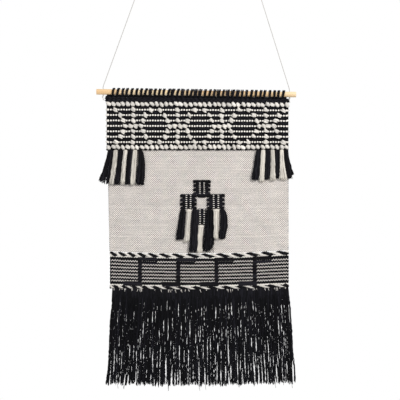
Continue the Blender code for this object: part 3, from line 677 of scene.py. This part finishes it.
def make_pile_row(row, half_steps, rng, cream):
    """One cream weft, its wraps round the selvedges, and its tufts."""
    yarn = Yarn()
    depth = PILE_FIRST + row * PILE_PITCH
    steps = np.arange(CLOTH_LEFT + 1, CLOTH_RIGHT - 1, DOT_PITCH / 8)
    beads = np.abs(np.sin(pi * (steps - CLOTH_LEFT - 8.5) / DOT_PITCH))
    weft = joined(steps, -0.2 - 1.2 * beads**0.6, -depth + 0.2 * np.sin(steps / 3))
    yarn.add(weft, 1.1 + 1.15 * beads**0.6, 1.2 + 1.0 * beads**0.6, sides=8, tint=1.0)
    ends = [(CLOTH_LEFT + 3.2, -0.6, -depth), (CLOTH_RIGHT - 3.2, -0.6, -depth)]
    add_plumps(yarn, rng, ends, 4.6, (2.7, 2.3), 0.0, 0.9)
    stars = [CLOTH_MIDDLE + STARS_SHIFT + (i - (STAR_COUNT - 1) / 2) * STAR_PITCH for i in range(STAR_COUNT)]
    tufts = []
    for x in (star + count * STAR_STEP for star in stars for count in half_steps):
        tufts.append((x + rng.uniform(-1.2, 1.2), -2.4, -depth + rng.uniform(-1.0, 1.0)))
    add_tufts(yarn, rng, tufts, 5.9, (5.3, 4.4), radians(-30), 2.9)
    name = f"pile_row_{row + 1}"
    return yarn.build(f"{name}_yarn", cream, (name,))


# ---- Cream panel and motif ----

PANEL_PARTS = 3  # the pieces that its wefts are shared between


def make_panel(cloth, ground):
    """The panel's wefts, in parts that each begin on an even weft so that the weave runs on, and its warp."""
    rng = default_rng(31)
    _, right, top, foot = span("cream_panel")
    count = int((foot - top) / WEFT_PITCH)
    depths = top + 0.8 + np.arange(count + 1) * (foot - top - 1.2) / count
    for part in range(PANEL_PARTS):
        chosen = range(part * len(depths) // PANEL_PARTS, (part + 1) * len(depths) // PANEL_PARTS)
        rows = [(cloth_left(depths[row]), right, depths[row]) for row in chosen]
        if chosen[0] % 2:
            rows.insert(0, (cloth_left(depths[chosen[0] - 1]), right, depths[chosen[0] - 1]))
        yarn = Yarn()
        woven_rows(yarn, rng, rows, 1.05, 0.08, 1.32, 0.72)
        replaced = ("cream_panel",) if part == 0 else ()
        yarn.build(f"cream_panel_weft_{part + 1}", cloth, replaced)
    outline = ((cloth_left(top) + 1, right - 1, top), (cloth_left(foot) + 1, right - 1, foot))
    ground_sheet("cream_panel_ground", outline, 0.3, ground)


MOTIF_X = 14.4  # the motif's middle, to the right of the dowel's
# Each block's left, right, top and foot: across from the motif's middle, and down from the dowel
BLOCKS = {
    "motif_crown": (-22.8, 22.3, 217.3, 252.7),
    "motif_left_arm": (-55.6, -12.5, 252.7, 289.0),
    "motif_right_arm": (11.3, 57.6, 252.7, 289.0),
    "motif_stem": (-9.4, 9.4, 289.0, 328.4),
}
NECK = (-13.5, 13.0, 253.5, 261.5)  # under the crown, from arm to arm
DASH_COLUMNS = {
    "motif_crown": (-5.3, 5.3),
    "motif_left_arm": (-39.1, -28.6),
    "motif_right_arm": (29.3, 40.9),
    "motif_stem": (-5.0, 5.5),
}
TOOTH = 6.8  # the depth of the notch between two teeth


def make_motif(black, cream):
    for name, (left, right, top, foot) in BLOCKS.items():
        make_block(name, left + MOTIF_X, right + MOTIF_X, top, foot, black, cream)


def brocade_strand(yarn, rng, left, right, depth, number, hooked):
    """A fat black weft laid over the cloth, whose ends droop a little where they make a tooth."""
    x = np.linspace(left, right, max(8, int((right - left) / 1.3)))
    edge = np.minimum(x - left, right - x)
    ends = tapered(x, left, right, 0.5, 2.2)
    y = -2.55 - 0.35 * np.sin(pi * x / WEFT_PITCH + pi * number)
    y -= 0.5 * hooked * np.exp(-edge / 2.5)
    z = -depth + 0.18 * np.sin(x / 2.1 + number) - 0.9 * hooked * np.exp(-edge / 1.8)
    yarn.add(joined(x, y, z), 1.55 * ends, 1.3 * ends, sides=8, tint=rng.uniform(0.1, 0.9))


def make_block(name, left, right, top, foot, black, cream):
    """A brocade block: fat black ribs with teeth at their ends, and columns of cream dashes between them."""
    rng = default_rng(sum(ord(letter) for letter in name))
    yarn, dashes = Yarn(), Yarn()
    toothed = name != "motif_stem"
    count = round((foot - top) / RIB_PITCH)
    pitch = (foot - top) / count
    for strand in range(2 * count):
        notch = toothed and strand % 4 == 3
        inset = TOOTH if notch else (1.2, 0.0, 0.4, 0.0)[strand % 4] * toothed
        a = left + inset + rng.uniform(-0.6, 0.8)
        b = right - inset + rng.uniform(-0.8, 0.6)
        hooked = 1.0 if toothed and strand % 4 == 2 else 0.0
        brocade_strand(yarn, rng, a, b, top + (0.28 + strand / 2) * pitch, strand, hooked)
    if name == "motif_crown":
        neck_left, neck_right, neck_top, neck_foot = NECK
        for strand in range(4):
            depth = neck_top + (strand + 0.3) * (neck_foot - neck_top) / 4
            inset = 3.5 if strand == 3 else 0.0
            a, b = neck_left + MOTIF_X + inset, neck_right + MOTIF_X - inset
            brocade_strand(yarn, rng, a, b, depth, strand, 0.0)
    share = np.linspace(-1, 1, 7)
    bow = np.sqrt(1 - share**2)
    first, thick = (1, 0.84) if name == "motif_crown" else (0, 0.95)
    wide = thick * (0.5 + 0.5 * bow)
    for column in DASH_COLUMNS[name]:
        for rib in range(first, count):
            x = column + MOTIF_X + rng.uniform(-0.35, 0.35)
            half = 2.1 * rng.uniform(0.85, 1.1)
            z = -(top + (rib + 0.53) * pitch) - 0.25 * share
            dashes.add(joined(x + half * share, -3.2 - 1.1 * bow, z), wide, sides=8, tint=1.0)
    yarn.build(f"{name}_yarn", black, (name,))
    dashes.build(f"{name}_dashes", cream)


# ---- Tassels ----

# For each tassel: how far its end lies to the right of its head, its foot's depth, and its width at the head,
# in the middle and at the end
LEFT_TASSELS = (
    (-13.0, 228, 14.5, 18.0, 26.0),
    (-10.5, 229, 9.6, 9.8, 12.0),
    (-8.5, 230, 13.0, 14.4, 16.0),
    (-7.5, 228, 9.4, 9.4, 10.6),
    (-5.6, 229, 12.4, 13.6, 16.5),
    (-6.6, 230, 10.4, 11.2, 12.0),
    (-2.0, 230, 12.4, 18.0, 21.0),
)
RIGHT_TASSELS = (
    (-8.8, 218, 12.4, 15.4, 19.2),
    (-3.4, 222, 10.0, 10.0, 11.0),
    (-2.6, 217, 12.4, 13.6, 15.2),
    (0.8, 220, 10.2, 10.6, 13.0),
    (1.2, 214, 11.6, 10.6, 9.6),
    (4.6, 219, 9.6, 11.0, 19.0),
    (8.2, 216, 10.2, 11.5, 13.0),
)
MOTIF_TASSELS = (
    (-8.2, 366, 14.6, 16.0, 19.6),
    (-5.5, 371, 12.6, 11.4, 12.6),
    (-5.5, 398, 16.6, 18.0, 20.0),
    (-3.2, 400, 12.2, 9.8, 11.0),
    (-5.0, 396, 20.0, 22.0, 26.0),
    (-0.9, 364, 13.2, 10.6, 9.6),
    (-0.8, 365, 14.0, 19.0, 17.0),
)
# How far the tassels that hang in a bow bow to the right, and to which side others splay
BOWED = {"motif_tassel_7": 4.6, "left_tassel_7": 3.4, "left_tassel_4": -1.8, "motif_tassel_4": -1.6}
FRAYED = {"left_tassel_1": -1, "right_tassel_7": 1, "motif_tassel_5": 1}
FRAY = 9.0  # the most that an outer strand splays
HEAD_RADIUS = 3.6
TASSEL_BACK = -2.3  # below its head, no strand's middle lies nearer to the cloth
STRANDS = 56
STRAND_POINTS = 20


def joint_place(name):
    """A joint's place, in millimetres from the dowel's middle."""
    joint = next(joint for joint in frame["joints"] if joint["name"] == name)
    return (Vector(joint["pos_m"]) - AXIS) / MM


def make_tassel(name, shape, look, seed, collared):
    """A hank of yarn folded over at its head, with strands of uneven length that drift apart downwards."""
    rng = default_rng(seed)
    lean, foot, head_width, middle_width, end_width = shape
    hinge = joint_place(f"{name}_swing")
    top = -hinge.z - HEAD_RADIUS
    drop = foot - top
    share = np.linspace(0, 1, STRAND_POINTS)
    angle = rng.uniform(0, 2 * pi, STRANDS)
    radius = np.sqrt(rng.uniform(0.12, 1, STRANDS))
    u, v = radius * np.cos(angle), radius * np.sin(angle)
    reach = 1 + rng.uniform(-0.05, 0.035, STRANDS) - 0.02 * np.abs(u)
    width = np.interp(share, (0, 0.06, 0.45, 1), (head_width * 0.8, head_width, middle_width, end_width)) / 2
    depth = np.interp(share, (0, 0.06, 0.4, 1), (2.6, 3.2, 3.5, 3.3))
    x = hinge.x + lean * share**1.25 + u[:, None] * width
    x += wander(rng, STRANDS, STRAND_POINTS, drop, 34, 1.3) * share**0.8
    x += BOWED.get(name, 0.9 * sin(seed)) * np.sin(pi * share**0.8)
    side = FRAYED.get(name, 0)
    splay = np.clip(side * u, 0, 1) * rng.uniform(0, 1, STRANDS) if side else np.zeros(STRANDS)
    x += side * splay[:, None] * FRAY * share**2.2
    reach -= 0.16 * splay
    y = hinge.y + v[:, None] * depth + wander(rng, STRANDS, STRAND_POINTS, drop, 40, 0.5) * share
    crown = HEAD_RADIUS * (1 - np.sqrt(np.clip(1 - 0.8 * u**2 - 0.1 * v**2, 0, 1)))
    z = -top - 0.9 - crown[:, None] * (1 - share) - share * (drop - 1.2) * reach[:, None]
    paths = joined(x, np.minimum(y, TASSEL_BACK), z)
    fold = paths[:, :1].copy()
    fold[:, :, 1] += 0.9 * np.sign(-v)[:, None]
    fold[:, :, 2] -= 2.2
    over = paths[:, :1] + (0, 0, 0.7)
    paths = np.concatenate([fold, over, paths], axis=1)
    thick = 1.02 * rng.uniform(0.8, 1.2, (STRANDS, 1)) * np.ones(STRAND_POINTS + 2)
    thick[:, -1] *= 0.45
    yarn = Yarn()
    yarn.add(paths, thick, plies=2, lay=6.0, tint=np.clip(rng.normal(0.5, 0.3, STRANDS), 0, 1))
    add_strays(yarn, rng, hinge, lean, top, drop, end_width)
    if collared:
        add_collar(yarn, rng, hinge, lean, top, head_width)
    yarn.build(f"{name}_yarn", look, (name,), name)


def add_strays(yarn, rng, hinge, lean, top, drop, width):
    """A few thin fibres that leave the tassel's foot."""
    count, points = 9, 12
    share = np.linspace(0.45, 1.02, points)
    side = rng.uniform(-1.15, 1.15, (count, 1))
    x = hinge.x + lean * share**1.25 + side * width / 2 * share + wander(rng, count, points, drop, 16, 1.1)
    y = hinge.y - 1.5 + wander(rng, count, points, drop, 20, 1.0)
    z = -top - drop * share * rng.uniform(0.93, 1.02, (count, 1))
    yarn.add(joined(x, np.minimum(y, -2.2), z), HAIR, sides=4, tint=rng.uniform(0.3, 1, count))


def add_collar(yarn, rng, hinge, lean, top, width):
    """Two turns of the same yarn round the tassel's neck."""
    turn = np.linspace(0, 2 * pi, 22)
    for level in range(2):
        depth = top + 3.0 + 2.3 * level
        x = hinge.x + lean * 0.05 + (width / 2 + 0.35) * np.cos(turn)
        y = hinge.y + 3.6 * np.sin(turn)
        z = -depth + 0.5 * np.sin(turn + rng.uniform(0, 6))
        path = joined(x, np.minimum(y, TASSEL_BACK), z)
        yarn.add(path, 1.25, sides=8, plies=2, lay=5, across=(0, 0, 1), tint=0.9)


def make_tassels(black, cream):
    groups = (("left", LEFT_TASSELS, 100), ("right", RIGHT_TASSELS, 200), ("motif", MOTIF_TASSELS, 300))
    for group, shapes, seed in groups:
        for i, shape in enumerate(shapes):
            look, collared = (cream, group == "motif") if i % 2 else (black, False)
            make_tassel(f"{group}_tassel_{i + 1}", shape, look, seed + i, collared)


# ---- Lower band ----

ZIGZAG = 6.4  # the length of one wave
ZIGZAG_SWING = 1.7
FRAYS = 44
STRIPES = 8
STRIPE_PITCH = 7.95
FRETS = 4
FRET_PITCH = 95.8
FRET_BAR = 9.5
FRET_ARM = 37.5


def zigzag_row(yarn, rng, left, right, depth, wide, deep, swing, tint, turn_y, pinch=0.0):
    """A weft that zigzags in the plane of the cloth and turns at turn_y.

    Midway between its turns it lies 0.7 towards the other face, and is thinner by the share pinch.
    """
    step = np.arange(ceil(8 * left / ZIGZAG), floor(8 * right / ZIGZAG) + 1)
    x = step * ZIGZAG / 8
    tooth = np.sin(pi * step / 4)
    z = -depth + swing * tooth + drift(rng, x, right - left, 80, 0.3)
    y = turn_y - copysign(0.7, turn_y) * (1 - np.abs(tooth))
    body = tapered(x, x[0], x[-1], 0.45, 2.5) * (1 - pinch * (1 - np.abs(tooth) ** 2))
    shades = np.clip(tint + drift(rng, x, right - left, 40, 0.15), 0, 1)
    yarn.add(joined(x, y, z), wide * body, deep * body, tint=shades)


def make_striped_band(black, cream, ground):
    """Black and light wefts by turns. Each light row is one thread on the front and one on the back."""
    rng = default_rng(51)
    dark, light = Yarn(), Yarn()
    left, right = STRIPES_LEFT, STRIPES_RIGHT
    first = (STRIPES_TOP + STRIPES_FOOT - (STRIPES - 1) * STRIPE_PITCH) / 2
    for stripe in range(STRIPES):
        depth = first + stripe * STRIPE_PITCH
        for offset in (-1.35, 1.35):
            zigzag_row(dark, rng, left, right, depth + offset, 1.95, 1.6, ZIGZAG_SWING, 0.35, 0.1)
        if stripe < STRIPES - 1:
            between = depth + STRIPE_PITCH / 2
            for y in (-1.5, 1.5):
                zigzag_row(light, rng, left + 2.5, right - 1, between, 0.68, 1.2, ZIGZAG_SWING, 1.0, y, 0.1)
    pieces = [
        light.build("striped_band_cream", cream, ("striped_band",)),
        dark.build("striped_band_black", black),
    ]
    outline = ((left + 1, right - 1, STRIPES_TOP - 2), (left + 1, right - 1, STRIPES_FOOT + 2))
    ground_sheet("striped_band_ground", outline, 0.6, ground)


def make_fret(number, black, cream):
    """A bar of short stitches, with an arm to the right at its top and one to the left at its foot."""
    rng = default_rng(60 + number)
    yarn = Yarn()
    middle = CLOTH_MIDDLE + (number - (FRETS + 1) / 2) * FRET_PITCH
    top, foot = STRIPES_TOP - 0.5, STRIPES_FOOT + 1.5
    rows = int((foot - top) / WEFT_PITCH)
    for row in range(rows + 1):
        depth = top + row * (foot - top) / rows
        half = FRET_BAR / 2 + (0.9 if row % 3 == 0 else 0) + rng.uniform(-0.5, 0.5)
        a, b = middle - half, middle + half
        if row < 6:
            b = middle + FRET_BAR / 2 + FRET_ARM + rng.uniform(-1.6, 1.6) - 1.2 * (row == 0)
        if row > rows - 4:
            a = middle - FRET_BAR / 2 - FRET_ARM + rng.uniform(-1.6, 1.6)
        x = np.linspace(a, b, max(7, int((b - a) / 1.5)))
        ends = tapered(x, a, b, 0.5, 2.0)
        y = -2.3 - 0.3 * np.sin(pi * x / WEFT_PITCH + pi * row)
        z = -depth + 0.3 * np.sin(2 * pi * x / ZIGZAG)
        yarn.add(joined(x, y, z), 1.55 * ends, 1.1 * ends, sides=8, tint=rng.uniform(0.1, 0.9))
    yarn.build(f"fret_{number}_yarn", black, (f"fret_{number}",))
    flecks = Yarn()
    share = np.linspace(-1, 1, 5)
    for x in np.arange(middle + FRET_BAR / 2 + 1, middle + FRET_BAR / 2 + FRET_ARM - 3, ZIGZAG * 0.8):
        path = joined(x + 0.8 * share, -3.3, -top - 7.9 - 0.3 * share + rng.uniform(-0.3, 0.3))
        flecks.add(path, 0.36 * (1 - 0.4 * share**2), tint=rng.uniform(0, 0.3))
    flecks.build(f"fret_{number}_flecks", cream)


def twist_turns(x, left, right, short, long, grown):
    """Turns of a twined rope from left to x: its turns lengthen from short to long over the first grown."""
    steps = np.linspace(left, right, 400)
    share = np.clip((steps - left) / grown, 0, 1)
    pitch = short + (long - short) * share**1.5
    turns = np.concatenate([[0], np.cumsum(np.diff(steps) / pitch[1:])])
    return np.interp(x, steps, turns)


def make_border(name, seed, shades, start):
    """A twined rope: a cream and a black strand that pass over each other in long slanting turns.

    shades gives each strand's name, look, radii across and out of the cloth, and how far it swings each way.
    """
    rng = default_rng(seed)
    left, right, top, foot = span(name)
    middle = (top + foot) / 2
    x = np.linspace(left, right, 420)
    turns = twist_turns(x, left, right, 22, 37.5, 190)
    angle = 2 * pi * turns + start
    for part, (label, look, wide, deep, swing) in enumerate(shades):
        yarn = Yarn()
        turn = angle + pi * part
        for strand in range(3):
            ply = turn * 2.2 + strand * 2 * pi / 3
            y = -swing[1] * np.cos(turn) + 0.34 * deep * np.cos(ply)
            z = -middle - swing[0] * np.sin(turn) + 0.4 * wide * np.sin(ply)
            z += drift(rng, x, CLOTH_RUN, 60, 0.4)
            fat = tapered(x, left, right, 0.4, 4) * (1 + drift(rng, x, CLOTH_RUN, 33, 0.14))
            radii = (0.66 * wide * fat, 0.66 * deep * fat)
            yarn.add(joined(x, y, z), *radii, sides=8, plies=2, lay=8, tint=rng.uniform(0.1, 0.7))
        yarn.build(f"{name}_{label}", look, (name,) if part == 0 else ())


def make_borders(black, cream):
    make_border("twined_border_upper", 71, (
        ("cream", cream, 3.0, 2.3, (2.7, 1.2)),
        ("black", black, 4.2, 3.0, (2.3, 2.3)),
    ), 0.4)
    make_border("twined_border_lower", 72, (
        ("black", black, 4.4, 2.8, (2.2, 1.7)),
        ("cream", cream, 2.7, 2.5, (2.2, 1.9)),
    ), 1.9)
    edges = Yarn()
    rng = default_rng(73)
    left, right, _, foot = span("twined_border_upper")
    zigzag_row(edges, rng, left, right, foot - 1.8, 1.5, 1.5, 0.9, 0.6, -0.9)
    left, right, top, foot = span("twined_border_lower")
    zigzag_row(edges, rng, left, right, top + 1.6, 1.7, 1.5, 0.9, 0.7, -0.9)
    share = np.linspace(0, 1, 7)
    thick = 0.7 * np.array([1, 1, 0.95, 0.9, 0.8, 0.7, 0.4])
    for x in rng.uniform(left + 4, right - 4, FRAYS):
        curl = rng.uniform(-2.5, 3.5)
        z = -foot + 3.4 - rng.uniform(4, 9) * share
        edges.add(joined(x + curl * share**1.5, -4.2 + 0.8 * share, z), thick, tint=rng.uniform(0.2, 0.8))
    edges.build("border_edges", cream)


# ---- Fringe ----

FRINGE_SECTIONS = 5
FRINGE_WIDTH = 87.8  # each section's, at its root
FRINGE_STRANDS = 150
FRINGE_POINTS = 72
FRINGE_SOLID = 17  # the depth of close threads at its root
FRINGE_HIDDEN = 4.5  # how far it reaches up behind the border
THREAD = 0.76
LOCKS = 25  # the strands of a section lie together in so many locks


def make_fringe(number, look):
    """One section of fringe: threads that are close at the root and part into crimped locks further down."""
    rng = default_rng(80 + number)
    joint = joint_place(f"fringe_{number}_swing")
    top, foot = span(f"fringe_{number}")[2:]
    outer_left, outer_right = span("fringe_1")[0], span(f"fringe_{FRINGE_SECTIONS}")[1]
    drop = foot - top - 1
    share = np.linspace(0, 1, FRINGE_POINTS)
    depth = share * drop
    loose = np.clip((depth - FRINGE_SOLID * 0.7) / (FRINGE_SOLID * 1.6), 0, 1) * (0.7 + 0.3 * share)
    end_width = (outer_right - outer_left) / FRINGE_SECTIONS
    end_left = outer_left + (number - 1) * end_width
    count = FRINGE_STRANDS
    place = (np.arange(count) + 0.5) / count
    lock = np.minimum((place * LOCKS).astype(int), LOCKS - 1)
    root = joint.x + (place - 0.5) * FRINGE_WIDTH
    gathered = (lock + 0.5 + ((place * LOCKS) % 1 - 0.5) * rng.uniform(0.6, 0.98, LOCKS)[lock]) / LOCKS
    end = end_left + gathered * end_width
    spread = share**0.8
    x = root[:, None] * (1 - spread) + end[:, None] * spread
    long = wander(rng, LOCKS, FRINGE_POINTS, drop, 160, 1.3)[lock]
    short = wander(rng, LOCKS, FRINGE_POINTS, drop, 60, 0.4)[lock]
    single = wander(rng, count, FRINGE_POINTS, drop, 80, 0.6)
    x += (long + short + single + crimp(rng, count, depth, 0.7)) * loose
    x += rng.uniform(-2.3, 2.3, LOCKS)[lock][:, None] * share**4
    x += wander(rng, count, FRINGE_POINTS, drop, 26, 0.22)
    y = ((np.arange(count) % 3 - 1) * 2.1)[:, None] * (1 - 0.25 * share)
    y = y + wander(rng, LOCKS, FRINGE_POINTS, drop, 110, 0.9)[lock] * loose
    y = y + crimp(rng, count, depth, 0.6) * loose
    ragged = rng.uniform(-5, 2.5, LOCKS)[lock] + rng.uniform(-5, 3, count)
    z = -(top - FRINGE_HIDDEN) - depth * (1 + (ragged[:, None] + FRINGE_HIDDEN) / drop)
    body = np.interp(share, (0, 0.12, 0.2, 0.99, 1), (1.35, 1.3, 1, 1, 0.45))
    thick = THREAD * rng.uniform(0.8, 1.2, (count, 1)) * body
    yarn = Yarn()
    yarn.add(joined(x, y, z), thick, sides=4, tint=np.clip(rng.normal(0.4, 0.26, count), 0, 1))
    add_cover(yarn, rng, root, top)
    add_curls(yarn, rng, (root[0], root[-1] - root[0]), (end_left, end_width), top, drop)
    name = f"fringe_{number}"
    yarn.build(f"{name}_yarn", look, (name,), name)


def crimp(rng, count, depth, reach):
    """The kinks of unplied yarn: quick waves that come and go along each strand."""
    wave = rng.uniform(10, 18, (count, 1))
    quick = np.sin(2 * pi * depth / wave + rng.uniform(0, 6.3, (count, 1)))
    slow = np.sin(2 * pi * depth / rng.uniform(50, 110, (count, 1)) + rng.uniform(0, 6.3, (count, 1)))
    return reach * quick * (0.55 + 0.45 * slow)


def add_cover(yarn, rng, root, top):
    """Short ends of yarn that close the fringe's root before and behind."""
    points = 12
    share = np.linspace(0, 1, points)
    for face in (-1, 1):
        count = len(root) // 2
        start = root[::2][:count, None] + rng.uniform(-0.6, 0.6, (count, 1))
        x = start + wander(rng, count, points, 40, 22, 0.5) * share
        y = face * (3.2 - 0.8 * share) + wander(rng, count, points, 40, 25, 0.3)
        z = -top + FRINGE_HIDDEN - share * (FRINGE_SOLID + FRINGE_HIDDEN + rng.uniform(-5, 7, (count, 1)))
        thick = 1.2 * np.interp(share, (0, 0.85, 1), (1, 0.9, 0.25)) * np.ones((count, 1))
        yarn.add(joined(x, y, z), thick, tint=rng.uniform(0.1, 0.8, count))


def add_curls(yarn, rng, root, end, top, drop):
    """Thin crimped threads that cross the gaps between the locks, and stray ends at the foot.

    root and end are the section's (left, width) at its root and at its foot.
    """
    count, points = 170, 18
    start = rng.uniform(0.16, 0.92, (count, 1))
    length = rng.uniform(14, 50, (count, 1))
    share = np.linspace(0, 1, points)
    down = start * drop + share * np.minimum(length, (0.99 - start) * drop)
    side, spread = rng.uniform(0.04, 0.96, (count, 1)), (down / drop) ** 0.8
    x = (root[0] + side * root[1]) * (1 - spread) + (end[0] + side * end[1]) * spread
    x += wander(rng, count, points, 40, 10, 1.4)
    y = rng.uniform(-3.6, 2.0, (count, 1)) + wander(rng, count, points, 40, 14, 0.9)
    yarn.add(joined(x, y, -top - down), HAIR, sides=4, tint=rng.uniform(0.4, 1, count))
    count, points = 3, 14
    share = np.linspace(0, 1, points)
    side = rng.uniform(0.06, 0.94, (count, 1))
    x = end[0] + side * end[1] + rng.uniform(-4, 6, (count, 1)) * share**2
    x = x + wander(rng, count, points, 30, 20, 0.6)
    y = wander(rng, count, points, 30, 22, 1.0)
    z = -top - drop * 0.93 - share * rng.uniform(20, 31, (count, 1))
    yarn.add(joined(x, y, z), HAIR, sides=4, tint=rng.uniform(0.2, 0.7, count))


# ---- The object ----

make_camera()
# the cord's colour is its own pale grey-brown, darkened a little as painted shade
pale_cord = wool("pale_cord", (0.50, 0.48, 0.45), 0.9, 1.1, 0.1)
make_cord((pale_cord, "pale_cord"))
make_studio()

black_yarn = wool("black_yarn", (0.0052, 0.0049, 0.0066), 0.5, 4.2, 0.08, 0.45)
cream_yarn = wool("cream_yarn", (0.68, 0.645, 0.59), 0.78, 1.26, 0.2)
tassel_cream = wool("tassel_cream", (0.64, 0.60, 0.53), 0.55, 1.2, 0.15)
cream_cloth = wool("cream_cloth", (0.83, 0.775, 0.72), 0.9, 1.08, 0.1)
fringe_yarn = wool("fringe_yarn", (0.0042, 0.0041, 0.0058), 0.5, 5.0, 0.08, 0.45)
dark_warp = wool("dark_warp", (0.042, 0.038, 0.036), 0.8, 1.2, 0.0)
black = (black_yarn, "black_yarn")
cream = (cream_yarn, "cream_yarn")

dowel = frame["nodes"]["dowel"]
dowel.data.materials.clear()
dowel.data.materials.append(pine())

make_lashing(black)
make_heading(black)
make_upper_band(black, cream)
make_panel((cream_cloth, "cream_cloth"), (dark_warp, "cream_cloth"))
make_motif(black, cream)
make_tassels(black, (tassel_cream, "cream_yarn"))
make_striped_band(black, (cream_cloth, "cream_yarn"), (black_yarn, "striped_cloth"))
for number in range(1, FRETS + 1):
    make_fret(number, black, cream)
make_borders(black, cream)
for number in range(1, FRINGE_SECTIONS + 1):
    make_fringe(number, (fringe_yarn, "fringe_yarn"))
